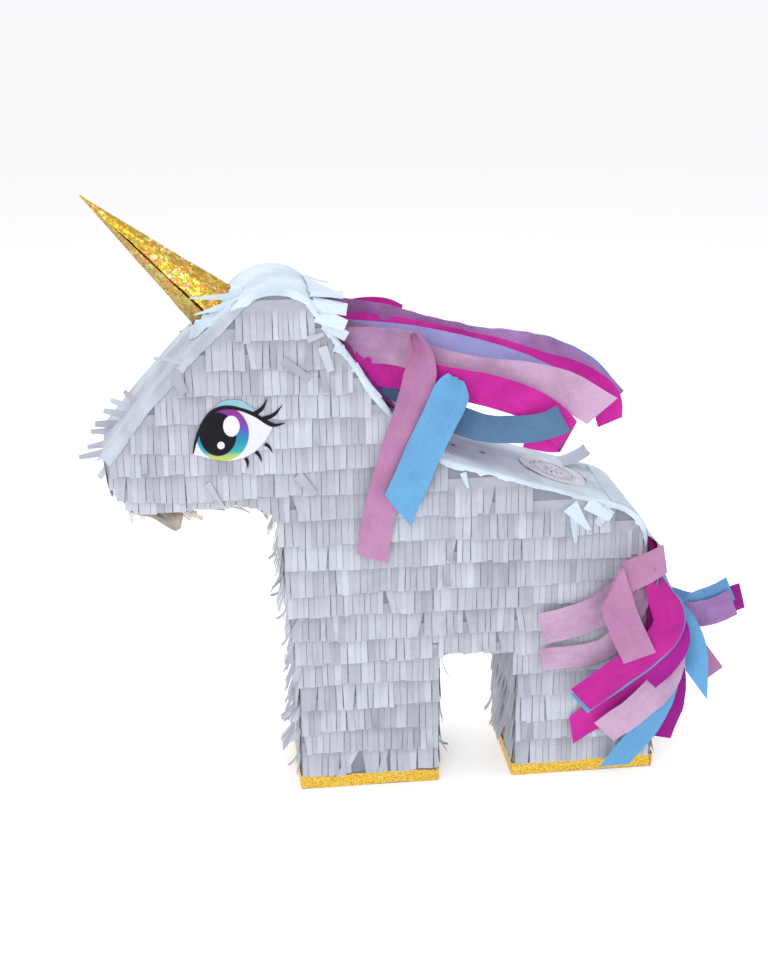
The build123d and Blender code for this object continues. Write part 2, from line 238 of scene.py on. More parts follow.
def crossings(z):
    """The stretches of x inside the outline at height z."""
    found = []
    for (x0, z0), (x1, z1) in zip(OUTLINE, np.roll(OUTLINE, -1, axis=0)):
        if (z0 > z) != (z1 > z):
            found.append(x0 + (x1 - x0) * (z - z0) / (z1 - z0))
    found.sort()
    return list(zip(found[::2], found[1::2]))


# ---------------------------------------------------------------- meshes

def ripples(rng, longest, shortest, count=7):
    """A smooth random field over a plane, about -1 to 1, as a function of two arrays."""
    lengths = np.geomspace(longest, shortest, count) * rng.uniform(0.85, 1.15, count)
    angles = rng.uniform(0, 2 * math.pi, count)
    phases = rng.uniform(0, 2 * math.pi, count)
    weights = lengths / np.sqrt((lengths ** 2).sum()) * 1.3

    def field(u, v):
        total = 0.0
        for length, angle, phase, weight in zip(lengths, angles, phases, weights):
            way = (u * math.cos(angle) + v * math.sin(angle)) * (2 * math.pi / length)
            total = total + weight * np.sin(way + phase)
        return total

    return field


def mesh_piece(name, points, faces, material, body, thick=TISSUE, tint=None, uv=None):
    """One piece from points and faces, given thickness, that rides on a CAD body if one is named."""
    mesh = bpy.data.meshes.new(name)
    mesh.from_pydata([tuple(p) for p in np.asarray(points, float).reshape(-1, 3)], [], faces)
    mesh.validate()
    mesh.polygons.foreach_set("use_smooth", [True] * len(mesh.polygons))
    loop_edge = np.zeros(len(mesh.loops), np.int32)
    mesh.loops.foreach_get("edge_index", loop_edge)
    mesh.edges.foreach_set("use_edge_sharp", np.bincount(loop_edge, minlength=len(mesh.edges)) == 1)
    if tint is not None:
        shade = mesh.attributes.new("tint", "FLOAT", "POINT")
        shade.data.foreach_set("value", np.asarray(tint, np.float32).ravel())
    if uv is not None:
        layer = mesh.uv_layers.new(name="UVMap")
        corner_vertex = np.zeros(len(mesh.loops), np.int32)
        mesh.loops.foreach_get("vertex_index", corner_vertex)
        layer.data.foreach_set("uv", np.asarray(uv, np.float32).reshape(-1, 2)[corner_vertex].ravel())
    piece = bpy.data.objects.new(name, mesh)
    bpy.context.scene.collection.objects.link(piece)
    mesh.materials.append(material)
    shell = piece.modifiers.new("Thickness", "SOLIDIFY")
    shell.thickness = thick
    shell.offset = 0.0
    if body:
        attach(piece, body)
    return piece


def declare(node=None):
    """Hides the CAD node that a piece stands for, if one is named."""
    if node:
        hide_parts(node)


def grid_faces(rows, columns, first=0):
    """Quads of a grid of points, row by row."""
    faces = []
    for r in range(rows - 1):
        for c in range(columns - 1):
            a = first + r * columns + c
            faces.append((a, a + 1, a + columns + 1, a + columns))
    return faces


def filled(loop, inner):
    """Points and triangles that fill a closed outline in a plane, through its inner points too."""
    ring = [(i, (i + 1) % len(loop)) for i in range(len(loop))]
    spots = [Vector(p) for p in np.vstack([loop, inner])]
    points, _, faces, *_ = delaunay_2d_cdt(spots, ring, [list(range(len(loop)))], 1, 1e-6)
    return np.array([tuple(p) for p in points]), [tuple(f) for f in faces]


def smooth_line(points, count, closed=False):
    """A smooth curve through points in a plane."""
    p = np.asarray(points, float)
    if closed:
        p = np.vstack([p[-1:], p, p[:2]])
    else:
        p = np.vstack([2 * p[:1] - p[1:2], p, 2 * p[-1:] - p[-2:-1]])
    segments = len(p) - 3
    at = np.linspace(0, segments, count, endpoint=not closed)
    k = np.minimum(at.astype(int), segments - 1)
    u = (at - k)[:, None]
    a, b, c, d = p[k], p[k + 1], p[k + 2], p[k + 3]
    return 0.5 * (2 * b + (c - a) * u + (2 * a - 5 * b + 4 * c - d) * u ** 2
                  + (3 * b - a - 3 * c + d) * u ** 3)


# ---------------------------------------------------------------- materials

def node(tree, kind, values=None, **settings):
    """A shader node with its settings, and its inputs set or linked by name or number."""
    made = tree.nodes.new("ShaderNode" + kind)
    for key, value in settings.items():
        setattr(made, key, value)
    for socket, value in (values or {}).items():
        if isinstance(value, bpy.types.NodeSocket):
            tree.links.new(value, made.inputs[socket])
        else:
            made.inputs[socket].default_value = value
    return made


def start_material(name, roughness, **constants):
    """A material, its tree and its Principled shader with constant inputs set."""
    material = bpy.data.materials.new(name)
    material.use_nodes = True
    tree = material.node_tree
    shader = tree.nodes["Principled BSDF"]
    shader.inputs["Roughness"].default_value = roughness
    for key, value in constants.items():
        shader.inputs[key.replace("_", " ")].default_value = value
    return material, tree, shader


def coordinates(tree, stretch=(1.0, 1.0, 1.0), source="Object"):
    """Object or UV coordinates, stretched."""
    where = node(tree, "TexCoord")
    return node(tree, "Mapping", {"Vector": where.outputs[source], "Scale": stretch}).outputs["Vector"]


def noise(tree, where, scale, detail=4.0, roughness=0.6, distortion=0.0):
    """A noise value, 0 to 1."""
    values = {"Vector": where, "Scale": scale, "Detail": detail, "Roughness": roughness}
    return node(tree, "TexNoise", {**values, "Distortion": distortion}).outputs["Fac"]


def ridges(tree, height):
    """How far a height is from its middle value, which turns soft noise into sharp folds."""
    return maths(tree, "ABSOLUTE", maths(tree, "SUBTRACT", height, 0.5))


def maths(tree, operation, a, b=0.0, c=0.0):
    return node(tree, "Math", {0: a, 1: b, 2: c}, operation=operation).outputs[0]


def length_of(tree, u, v):
    """The length of (u, v)."""
    squares = maths(tree, "MULTIPLY", u, u), maths(tree, "MULTIPLY", v, v)
    return maths(tree, "SQRT", maths(tree, "ADD", *squares))


def between(tree, value, start, end):
    """0 at start and 1 at end, and held past them. Start may be above end."""
    turned = start > end
    ends = {"From Min": min(start, end), "From Max": max(start, end), "To Min": float(turned)}
    return node(tree, "MapRange", {"Value": value, **ends, "To Max": float(not turned)}).outputs[0]


def ramp(tree, value, stops, interpolation="LINEAR"):
    """Colours by value: stops are (place, (r, g, b))."""
    made = node(tree, "ValToRGB", {"Fac": value})
    made.color_ramp.interpolation = interpolation
    elements = made.color_ramp.elements
    while len(elements) < len(stops):
        elements.new(0.5)
    for element, (place, colour) in zip(elements, stops):
        element.position = place
        element.color = (*colour, 1.0)
    return made.outputs["Color"]


def bump(tree, shader, height, distance, strength=1.0):
    """Joins a height, worth this distance in metres, to the shader's normal."""
    made = node(tree, "Bump", {"Height": height, "Distance": distance, "Strength": strength})
    tree.links.new(made.outputs["Normal"], shader.inputs["Normal"])
    return made


def mix(tree, share, a, b, blend="MIX"):
    """Two colours mixed by share."""
    made = node(tree, "Mix", data_type="RGBA", blend_type=blend)
    for socket, value in ((0, share), (6, a), (7, b)):
        if isinstance(value, bpy.types.NodeSocket):
            tree.links.new(value, made.inputs[socket])
        elif socket == 0:
            made.inputs[socket].default_value = value
        else:
            made.inputs[socket].default_value = (*value, 1.0)
    return made.outputs[2]


def tint(tree):
    """The value from 0 to 1 that a mesh carries at each point: random tone, and on some pieces painted shade
    and painted light.
    """
    return node(tree, "Attribute", attribute_name="tint").outputs["Fac"]


def white_tissue(name, dim, bright, wrinkle=0.0003):
    """White tissue paper: fibres, soft wrinkles, and sheets or fingers that differ a little; the tint also
    carries painted shade and painted light.
    """
    material, tree, shader = start_material(name, 0.82, Sheen_Weight=0.15)
    where = coordinates(tree)
    soft = noise(tree, where, 45.0, 3.0)
    fibres = noise(tree, coordinates(tree, (1.0, 1.0, 0.25)), 1400.0, 3.0)
    share = maths(tree, "MULTIPLY_ADD", soft, 0.5, maths(tree, "MULTIPLY", tint(tree), 0.75))
    share = node(tree, "Clamp", {"Value": share}).outputs[0]
    plain = mix(tree, share, dim, bright)
    flecks = ramp(tree, fibres, [(0.3, (0.86, 0.86, 0.88)), (0.7, (1.0, 1.0, 1.0))])
    tree.links.new(mix(tree, 0.6, plain, flecks, "MULTIPLY"), shader.inputs["Base Color"])
    height = maths(tree, "MULTIPLY_ADD", fibres, 0.12, ridges(tree, noise(tree, where, 160.0, 3.0, 0.55)))
    bump(tree, shader, height, wrinkle * 8, 0.55)
    return material


def crepe(name, colour, deep):
    """Coloured tissue: mottled dye, fine fibres along the sheet, soft creases, light through it, and painted
    shade from its tint towards its deep colour.
    """
    material, tree, shader = start_material(name, 0.80, Sheen_Weight=0.15, Specular_IOR_Level=0.25)
    where = coordinates(tree)
    cloudy = noise(tree, where, 22.0, 4.0, 0.65)
    streaks = noise(tree, coordinates(tree, (260.0, 22.0, 1.0), "UV"), 1.0, 3.0)
    speckle = noise(tree, where, 1100.0, 4.0, 0.8)
    # The tint adds painted shade, moving the colour towards the deep one.
    share = maths(tree, "MULTIPLY_ADD", cloudy, 1.3, maths(tree, "MULTIPLY", tint(tree), 0.7))
    share = maths(tree, "MULTIPLY_ADD", streaks, 0.35, share)
    share = node(tree, "Clamp", {"Value": maths(tree, "SUBTRACT", share, 0.82)}).outputs[0]
    plain = mix(tree, share, colour, deep)
    grain = ramp(tree, speckle, [(0.30, (0.66, 0.66, 0.70)), (0.62, (1.0, 1.0, 1.0))])
    dyed = mix(tree, 0.85, plain, grain, "MULTIPLY")
    tree.links.new(dyed, shader.inputs["Base Color"])
    folds = ridges(tree, noise(tree, coordinates(tree, (46.0, 90.0, 1.0), "UV"), 1.0, 3.0, 0.5, 0.6))
    height = maths(tree, "MULTIPLY_ADD", streaks, 0.16, maths(tree, "MULTIPLY_ADD", speckle, 0.16, folds))
    made = bump(tree, shader, height, 0.0022, 0.6)
    through = node(tree, "BsdfTranslucent", {"Color": dyed, "Normal": made.outputs["Normal"]})
    both = node(tree, "MixShader", {0: 0.28, 1: shader.outputs[0], 2: through.outputs[0]})
    tree.links.new(both.outputs[0], tree.nodes["Material Output"].inputs["Surface"])
    return material


def kraft_card(name, colour):
    """Corrugated card: long fibres, faint flutes every few millimetres, darker flecks."""
    material, tree, shader = start_material(name, 0.85)
    where = coordinates(tree)
    fibres = noise(tree, coordinates(tree, (1.0, 1.0, 0.12)), 500.0, 5.0)
    blotch = noise(tree, where, 30.0, 3.0)
    shade = ramp(tree, fibres, [(0.3, tuple(0.72 * c for c in colour)), (0.65, colour)])
    worn = ramp(tree, blotch, [(0.3, (0.86, 0.85, 0.84)), (0.7, (1.0, 1.0, 1.0))])
    tree.links.new(mix(tree, 1.0, shade, worn, "MULTIPLY"), shader.inputs["Base Color"])
    flutes = node(tree, "TexWave", {"Vector": where, "Scale": 55.0, "Distortion": 0.6, "Detail": 1.0},
                  bands_direction="X").outputs["Fac"]
    height = maths(tree, "MULTIPLY_ADD", flutes, 0.7, maths(tree, "MULTIPLY", fibres, 0.4))
    bump(tree, shader, height, 0.0004)
    return material


# Painted shade: the fringe's tissue is white tissue made darker, as the body's sides stand in shade.
FRINGE_SHADED_WHITE = white_tissue("fringe_tissue_painted_shade", (0.30, 0.305, 0.35), (0.63, 0.665, 0.74), 0.0002)
SMOOTH_WHITE = white_tissue("smooth_tissue", (0.56, 0.655, 0.76), (0.74, 0.85, 0.95), 0.0006)
# Painted shade: a darker copy of the white tissue, for the forehead and the far back flap, which stand in
# shade.
FOREHEAD_SHADED_WHITE = white_tissue("forehead_tissue", (0.42, 0.455, 0.52), (0.60, 0.655, 0.74), 0.0006)
# Painted shade: the lining is white tissue made dark, as it lies in shade under the fringe.
LINING_SHADED_WHITE = white_tissue("lining_tissue_painted_shade", (0.225, 0.235, 0.30), (0.29, 0.31, 0.385), 0.0006)
SHADED_TISSUE = white_tissue("shaded_tissue", (0.72, 0.63, 0.55), (0.88, 0.82, 0.76))
CARD = kraft_card("card", (0.62, 0.49, 0.34))


# ---------------------------------------------------------------- tissue fringe

def finger_draws(rng, count, length, loose, splay, quiet):
    """How each finger of a strip hangs: its length, lean, bend, twist, camber, lift, shade and splay."""
    group = np.cumsum(rng.random(count) < GROUP_ENDS)
    long = length * (1 + rng.normal(0, 0.022, count + 1)[group] + rng.normal(0, 0.009, count))
    torn = rng.random(count) < TORN * loose * quiet
    long = np.where(torn, long * rng.uniform(0.12, 0.5, count), long)
    lean = rng.normal(0, 0.012, count) + rng.normal(0, 0.014, count + 1)[group]
    stray = rng.random(count) < STRAY * loose
    lean = np.where(stray, rng.normal(0, 0.20, count), lean) * quiet
    bend = np.abs(rng.normal(0, 0.05, count)) * loose
    curled = rng.random(count) < CURLED * loose
    bend = np.where(curled, rng.uniform(0.3, 1.1, count), bend) * quiet
    twisted = rng.random(count) < TWISTED * loose
    twist = np.where(twisted, rng.normal(0, 0.30, count), rng.normal(0, 0.045, count)) * quiet
    camber = rng.normal(0, 0.00010, count) * (0.4 + 0.6 * quiet)
    lift = rng.uniform(0, 0.00042, count + 1)[group] + rng.uniform(0, 0.0001, count)
    shade = rng.normal(0.50, 0.16, count + 1)[group] + rng.normal(0, 0.12, count)
    away = splay * rng.exponential(1.0, count + 1)[group] * quiet
    return long, lean, bend, twist, camber, lift, shade, away


def strip_faces(count):
    """Quads of a strip: two rows of heading, then each finger two quads wide below it."""
    columns = 2 * count + 1
    faces = grid_faces(2, columns)
    for finger in range(count):
        above = [columns + 2 * finger + k for k in range(3)]
        for step in range(FINGER_STEPS):
            row = [2 * columns + (finger * FINGER_STEPS + step) * 3 + k for k in range(3)]
            faces += [(above[k], above[k + 1], row[k + 1], row[k]) for k in (0, 1)]
            above = row
    return faces


def finger_strip(name, rng, cuts, slit, place, material, body="shell", node=None,
                 length=FINGER_LENGTH, heading=HEADING, root=ROOT_HEIGHT, tip=TIP_HEIGHT, room=None,
                 clamp=None, calm=None, loose=1.0, splay=0.0):
    """A strip of tissue glued by its heading, with the rest of it cut into fingers.

    cuts are the slits' places across, and slit(across) is how far down they start.
    place(across, down, height) gives points in space. room(across, down) is how far inside the
    strip's surface a place is, clamp(across, down) brings a heading point back onto it, and
    calm(across, down) is 0 where fingers lie flat.
    """
    count = len(cuts) - 1
    t = np.linspace(0, 1, FINGER_STEPS + 1)
    middle, width = (cuts[:-1] + cuts[1:]) / 2, np.diff(cuts)
    start = slit(middle)
    quiet = np.ones(count) if calm is None else calm(middle, start + length / 2)
    draws = finger_draws(rng, count, length, loose, splay, quiet)
    long, lean, bend, twist, camber, lift, shade, away = (values[:, None] for values in draws)
    if room is not None:
        probe = np.linspace(0, 1, 14)
        free = room(middle[:, None] + lean * long * probe, start[:, None] + long * probe) > -OVERHANG
        reach = np.where(free.all(1), 1.0, np.argmin(free, axis=1) / len(probe))
        long = np.maximum(long * reach[:, None], 0.0012)
    rise = math.atan2(tip - root, length)
    halfway = (t[1:] + t[:-1]) / 2
    slope = rise + bend * halfway ** 2 * 1.6 + np.minimum(away, 1.0) * np.minimum(1, halfway * 3)
    stride = long / FINGER_STEPS
    down = np.cumsum(np.cos(slope) * stride, axis=1)
    up = root + lift * t[1:] + np.cumsum(np.sin(slope) * stride, axis=1)
    side = np.array([-1.0, 0.0, 1.0])
    grown = t[1:][None, :, None]
    half = (width / 2)[:, None, None] * (1 - 0.05 * np.minimum(1.0, grown * 5))
    turn = twist[..., None] * grown
    across = middle[:, None, None] + lean[..., None] * down[..., None] + side * half * np.cos(turn)
    height = up[..., None] + side * half * np.sin(turn) + (side == 0) * camber[..., None] * grown
    downs = np.broadcast_to(start[:, None, None] + down[..., None], across.shape)
    fingers = place(across, downs, np.maximum(height, root * 0.8))
    columns = np.empty(2 * count + 1)
    columns[0::2], columns[1::2] = cuts, middle
    line = slit(columns)
    tops, top_down = columns, line - heading
    if clamp is not None:
        tops, top_down = clamp(columns, top_down)
    head = place(np.stack([tops, columns]), np.stack([top_down, line]), np.full((2, len(columns)), root))
    # Painted shade at the top of each finger, under the row above, and painted light towards its tip.
    shadow = np.interp(t[1:], [0.0, 0.18, 0.42, 1.0], [0.30, 0.30, 0.04, -0.12])
    shades = np.clip(shade - shadow, 0, 1).repeat(3, axis=1).ravel()
    points = np.concatenate([head.reshape(-1, 3), fingers.reshape(-1, 3)])
    # The covered heading gets the same painted shade as the fingers' tops.
    shades = np.concatenate([np.full(2 * len(columns), 0.2), shades])
    piece = mesh_piece(name, points, strip_faces(count), material, body, tint=shades)
    declare(node)
    return piece


def slits(rng, start, end, width=FINGER_WIDTH):
    """Uneven places of the slits between two ends."""
    count = max(2, round((end - start) / width))
    parts = rng.uniform(0.72, 1.28, count)
    return start + np.append(0.0, np.cumsum(parts)) * (end - start) / parts.sum()


HOOF_TOP = high("hoof_bands").z
TOP_ROW_DROP = 0.014       # from the top of the outline to the highest row's slit line
SHORTEST_ROW = 0.012
LINING_GRID = 0.008
EYE_LOW, EYE_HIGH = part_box("left_eye")
EYE_MIDDLE = (EYE_LOW + EYE_HIGH) / 2


def calm_places(x, down):
    """0 under the eye sticker, small under the hanging streamers, 1 well away from them."""
    away = np.hypot((x - EYE_MIDDLE.x) / 0.054, (-down - EYE_MIDDLE.z) / 0.042)
    quiet = np.clip((away - 0.85) / 0.3, 0, 1)
    for hanging in ("near_pink_lock", "near_blue_lock", "tail_pink", "tail_magenta_short", "tail_blue"):
        first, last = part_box(hanging)
        over = (x > first.x - 0.008) & (x < last.x + 0.008)
        over &= (-down > first.z - 0.008) & (-down < last.z + 0.02)
        quiet = np.where(over, np.minimum(quiet, 0.06), quiet)
    return quiet


def side_fringe(side, word):
    """Rows of tissue strips over one side of the body, lowest row first, each lapping the one below."""
    rng = np.random.default_rng(SEED + (1 if side < 0 else 2))

    def place(x, down, height):
        return np.stack([x, side * (FACE + height), -down], -1)

    def room(x, down):
        return outline_distance(x, -down)

    def clamp(x, down):
        kept_x, kept_down = x.copy(), down.copy()
        for _ in range(6):
            outside = outline_distance(kept_x, -kept_down) < 0.0004
            kept_down = np.where(outside, kept_down + 0.0012, kept_down)
        return kept_x, kept_down

    lowest = HOOF_TOP + FINGER_HANG
    top = OUTLINE[:, 1].max() - TOP_ROW_DROP
    rows = round((top - lowest) / ROW_PITCH) + 1
    pitch = (top - lowest) / (rows - 1)
    number = 0
    for row in range(rows):
        z = lowest + (row + (rng.uniform(-0.06, 0.06) if row else 0.0)) * pitch
        phase, tilt = rng.uniform(0, 2 * math.pi), rng.normal(0, 0.006)

        def slit(x, z=z, phase=phase, tilt=tilt):
            return -(z + 0.0009 * np.sin(x / 0.031 + phase) + tilt * x)

        for x0, x1 in crossings(z - 0.001):
            if x1 - x0 < SHORTEST_ROW:
                continue
            number += 1
            cuts = slits(rng, x0 + 0.0006, x1 - 0.0006)
            finger_strip(f"{word}_fringe_{number:02d}", rng, cuts, slit, place, FRINGE_SHADED_WHITE,
                         node=f"{word}_fringe", room=room, clamp=clamp,
                         calm=calm_places)


def side_lining(side, word):
    """The smooth tissue glued over the whole side before the fringe."""
    rng = np.random.default_rng(SEED + 11 + side)
    first, last = OUTLINE.min(0) + LINING_GRID / 2, OUTLINE.max(0)
    lines = [np.arange(first[k], last[k], LINING_GRID) for k in (0, 1)]
    grid = np.stack(np.meshgrid(*lines), -1).reshape(-1, 2)
    flat, faces = filled(OUTLINE, grid[outline_distance(grid[:, 0], grid[:, 1]) > 0.003])
    height = LINING_HEIGHT + 0.00022 * ripples(rng, 0.05, 0.012)(flat[:, 0], flat[:, 1])
    height = np.clip(height, 0.00012, ROOT_HEIGHT * 0.8)
    piece = mesh_piece(f"{word}_lining", stacked(flat[:, 0], side * (FACE + height), flat[:, 1]), faces,
                       LINING_SHADED_WHITE, "shell", thick=0.0001, tint=np.full(len(flat), 0.5))
    declare()


for side, word in ((-1, "left"), (1, "right")):
    side_lining(side, word)
    side_fringe(side, word)


# ---------------------------------------------------------------- fringe and tissue on the edges

FOREHEAD = Edge(NOSE_TOP, CROWN_FRONT)
CROWN = Edge(CROWN_FRONT, CROWN_BACK)
HEAD_TOP = Edge(NOSE_TOP, CROWN_BACK)
NAPE = Edge(CROWN_BACK, BACK_FRONT)
BACK = Edge(BACK_FRONT, RUMP_LOW)


def edge_fringe(word, edge, node, seed, loose=1.0, splay=0.10, material=FRINGE_SHADED_WHITE, stop=0.0):
    """Rows of strips across one edge of the body, down its length, the lowest ending stop short of it."""
    rng = np.random.default_rng(SEED + seed)
    half = FACE + 0.0007
    row, s = 0, edge.length - stop - FINGER_HANG
    while s > 0.0:
        phase = rng.uniform(0, 2 * math.pi)

        def slit(y, s=s, phase=phase):
            return s + 0.0008 * np.sin(y / 0.02 + phase)

        row += 1
        finger_strip(f"{word}_fringe_{row:02d}", rng, slits(rng, -half, half), slit, edge.place, material,
                     node=node, heading=min(HEADING, s + 0.001), root=0.0004, tip=0.0013,
                     loose=loose, splay=splay)
        s -= ROW_PITCH * rng.uniform(0.94, 1.06)


edge_fringe("chest", Edge(TOE, THROAT_LOW, down=True), "chest_fringe", 21, 1.0, 0.17,
            stop=HOOF_TOP)
edge_fringe("rear", Edge(RUMP_LOW, HEEL), "rear_fringe", 22, 0.8, 0.07, stop=HOOF_TOP)
edge_fringe("front_leg_inner", Edge(BELLY_FRONT, FRONT_HEEL), "belly_fringe", 23,
            0.8, 0.10, stop=HOOF_TOP)
edge_fringe("rear_leg_inner", Edge(REAR_TOE, BELLY_REAR, down=True), "belly_fringe", 24,
            0.8, 0.08, stop=HOOF_TOP)
edge_fringe("belly", Edge(BELLY_REAR, BELLY_FRONT), "belly_fringe", 25, 1.0, 0.30,
            SHADED_TISSUE)
edge_fringe("jaw", Edge(THROAT_LOW, CHIN, down=True), "jaw_fringe", 26, 0.6,
            0.16, SHADED_TISSUE)
edge_fringe("nose", Edge(CHIN, NOSE_TOP, down=True), "nose_fringe", 27, 0.4, 0.04)


def cut_sheet(s, across, holes):
    """Places and faces of a grid of (s, across), with round holes (s, across, radius) cut through it."""
    rows, columns = across.shape
    border = list(range(columns)) + [r * columns + columns - 1 for r in range(1, rows)]
    border += [(rows - 1) * columns + c for c in range(columns - 2, -1, -1)]
    border += [r * columns for r in range(rows - 2, 0, -1)]
    spots = np.stack([s.ravel(), across.ravel()], 1)
    keep = np.ones(len(spots), bool)
    for hole_s, hole_y, radius in holes:
        keep &= np.hypot(spots[:, 0] - hole_s, spots[:, 1] - hole_y) > radius + 0.0012
    keep[border] = True
    number = np.cumsum(keep) - 1
    spots = spots[keep]
    ring = [int(number[i]) for i in border]
    edges = list(zip(ring, ring[1:] + ring[:1]))
    for hole_s, hole_y, radius in holes:
        count = max(16, int(radius * 2 * math.pi / 0.0022))
        turn = np.linspace(0, 2 * math.pi, count, endpoint=False)
        rough = radius + 0.0003 * np.sin(turn * 7 + radius * 900)
        circle = np.stack([hole_s + rough * np.cos(turn), hole_y + rough * np.sin(turn)], 1)
        edges += [(len(spots) + k, len(spots) + (k + 1) % count) for k in range(count)]
        spots = np.vstack([spots, circle])
    made, _, faces, *_ = delaunay_2d_cdt([Vector(p) for p in spots], edges, [], 1, 1e-7)
    made = np.array([tuple(p) for p in made])
    middle = np.array([made[list(f)].mean(0) for f in faces])
    open_face = np.zeros(len(faces), bool)
    for hole_s, hole_y, radius in holes:
        open_face |= np.hypot(middle[:, 0] - hole_s, middle[:, 1] - hole_y) < radius * 0.995
    return made[:, 0], made[:, 1], [tuple(f) for f, gone in zip(faces, open_face) if not gone]


def wrapped_sheet(node, edge, before, after, fold, height=0.0007, ragged=0.0010, torn_ends=(0.0, 0.0),
                  wrinkle=0.0003, material=SMOOTH_WHITE, holes=(), tears=0.06, rng=None):
    """A sheet of tissue over an edge of the body, folded down over both sides, with torn borders.

    before and after are how far it reaches past the edge's ends, and fold is how far it folds down
    at its start and at its end. holes are (s, y, radius), cut through the flat part.
    """
    side_height = 0.0021
    s0, s1 = -before, edge.length + after
    rows = max(6, int((s1 - s0) / 0.0028))
    t = np.linspace(0, 1, rows + 1)[:, None]
    flat = np.linspace(-FACE, FACE, 29)
    steps = np.array([0.12, 0.3, 0.55, 0.8, 1.0])
    kind = np.concatenate([-steps[::-1], np.zeros(len(flat)), steps])[None, :]
    base = np.concatenate([np.full(5, -FACE), flat, np.full(5, FACE)])[None, :]
    slow = ripples(rng, 0.09, 0.02, 5)
    border = []
    for side in (-1, 1):
        spikes = np.where(rng.random(rows + 1) < tears, rng.exponential(1.6, rows + 1), 0.0)
        spikes = spikes + 0.5 * np.roll(spikes, 1)
        along = s0 + (s1 - s0) * t[:, 0]
        border.append((0.6 * slow(along, side * 0.3) + rng.normal(0, 0.22, rows + 1) + spikes)[:, None])
    depth = fold[0] + (fold[1] - fold[0]) * t + ragged * np.where(kind < 0, border[0], border[1])
    across = base + np.sign(kind) * np.abs(kind) * np.maximum(depth, 0.0008)
    jag = ripples(rng, 0.03, 0.004, 6)
    ends = (1 - t) * torn_ends[0] + t * torn_ends[1]
    torn = jag(across, 0.0) + 0.5 * rng.normal(0, 1, across.shape[1])
    s = s0 + (s1 - s0) * t + ends * torn * np.clip(np.abs(2 * t - 1) * 6 - 5, 0, 1)
    creases = ripples(rng, 0.05, 0.006, 9)
    fine = ripples(rng, 0.012, 0.003, 6)
    shade = ripples(rng, 0.06, 0.01)
    if holes:
        s, across, faces = cut_sheet(s, across, holes)
    else:
        faces = grid_faces(rows + 1, across.shape[1])
    beyond = np.maximum(np.abs(across) - FACE, 0.0)
    folds = 0.5 + 0.5 * creases(0.3 * s, across) + 0.25 * fine(0.5 * s, across)
    lift = height + wrinkle * folds * (1 - 0.7 * (beyond > 0))
    turn = np.minimum(1.0, beyond / 0.0022) * math.pi / 2
    spot, out = edge.at(s)
    place = spot + out * (lift * np.cos(turn) - np.maximum(0.0, beyond - 0.0009))[..., None]
    aside = FACE + (side_height + 0.4 * wrinkle * creases(s, 2 * across)) * np.sin(turn)
    y = np.where(beyond > 0, np.sign(across) * aside, across)
    piece = mesh_piece(f"{node}_sheet", stacked(place[..., 0], y, place[..., 1]), faces, material, "shell",
                       tint=np.clip(0.5 + 0.4 * shade(s, across), 0, 1))
    declare(node)


HANG_HOLES = (0.006, 0.034)          # along the back from its front
HANG_HOLE_RADIUS = 0.003
DOOR_LOW, DOOR_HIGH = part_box("fill_door")
DOOR_S = BACK.nearest((DOOR_LOW.x + DOOR_HIGH.x) / 2, (DOOR_LOW.z + DOOR_HIGH.z) / 2)
DOOR_RADIUS = (DOOR_HIGH.y - DOOR_LOW.y) / 2
TAPE_LENGTH = 0.012


def wrapped_sheets():
    """The smooth tissue over the forehead, crown, nape and back."""
    rng = np.random.default_rng(SEED + 40)
    wrapped_sheet("forehead_tissue", FOREHEAD, 0.004, 0.004, (0.0110, 0.0045),
                  ragged=0.0011, torn_ends=(0.002, 0.0), material=FOREHEAD_SHADED_WHITE, rng=rng)
    wrapped_sheet("crown_tissue", CROWN, 0.004, 0.010, (0.0045, 0.0040), height=0.0012,
                  ragged=0.0006, torn_ends=(0.003, 0.004), wrinkle=0.0008, rng=rng)
    wrapped_sheet("nape_tissue", NAPE, 0.002, 0.006, (0.0050, 0.0050), ragged=0.0012,
                  torn_ends=(0.0, 0.002), tears=0.16, rng=rng)
    holes = [(DOOR_S, 0.0, DOOR_RADIUS + 0.0003)] + [(s, 0.0, HANG_HOLE_RADIUS) for s in HANG_HOLES]
    wrapped_sheet("back_tissue", BACK, 0.002, 0.003, (0.0042, 0.0042), ragged=0.0009,
                  torn_ends=(0.002, 0.002), wrinkle=0.0004, tears=0.12, holes=holes, rng=rng)


def rump_ribs():
    """A strip cut into long fingers that lie flat along the back, over the rump to the tail."""
    rng = np.random.default_rng(SEED + 28)
    start = DOOR_S + DOOR_RADIUS + TAPE_LENGTH + 0.008
    half = FACE - 0.001

    def slit(y):
        return start + 0.001 * np.sin(y / 0.02)

    finger_strip("rump_ribs", rng, slits(rng, -half, half, 0.0052), slit, BACK.place, SMOOTH_WHITE,
                 length=BACK.length - start - 0.003, heading=0.008,
                 root=0.0015, tip=0.0016, loose=0.0)


# Over the crushed ends of the tail: the middle line of the tissue, in mm, from the rump down.
ROOT_COVER = [(172, 240), (179, 231.5), (186, 227.5), (192, 223), (195.5, 216), (197, 207), (197.5, 198),
              (197.5, 180)]


def root_cover():
    """White tissue over the crushed ends of the tail, cut into fingers that show them between."""
    rng = np.random.default_rng(SEED + 29)
    line = smooth_line(ROOT_COVER, 60) * MM
    gone = line_distances(line)
    way = np.gradient(line, axis=0)
    out = unit(np.stack([-way[:, 1], way[:, 0]], 1))

    def place(y, down, height):
        x = np.interp(down, gone, line[:, 0]) + height * np.interp(down, gone, out[:, 0])
        z = np.interp(down, gone, line[:, 1]) + height * np.interp(down, gone, out[:, 1])
        return stacked(x, y, z)

    half = FACE + 0.0008
    cuts = slits(rng, -half, half, 0.0072)
    piece = finger_strip("tail_root_cover", rng, cuts, lambda y: np.full(y.shape, 0.024), place,
                         SMOOTH_WHITE, None, length=0.022, heading=0.022,
                         loose=0.5, splay=0.05)
    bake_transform(piece)


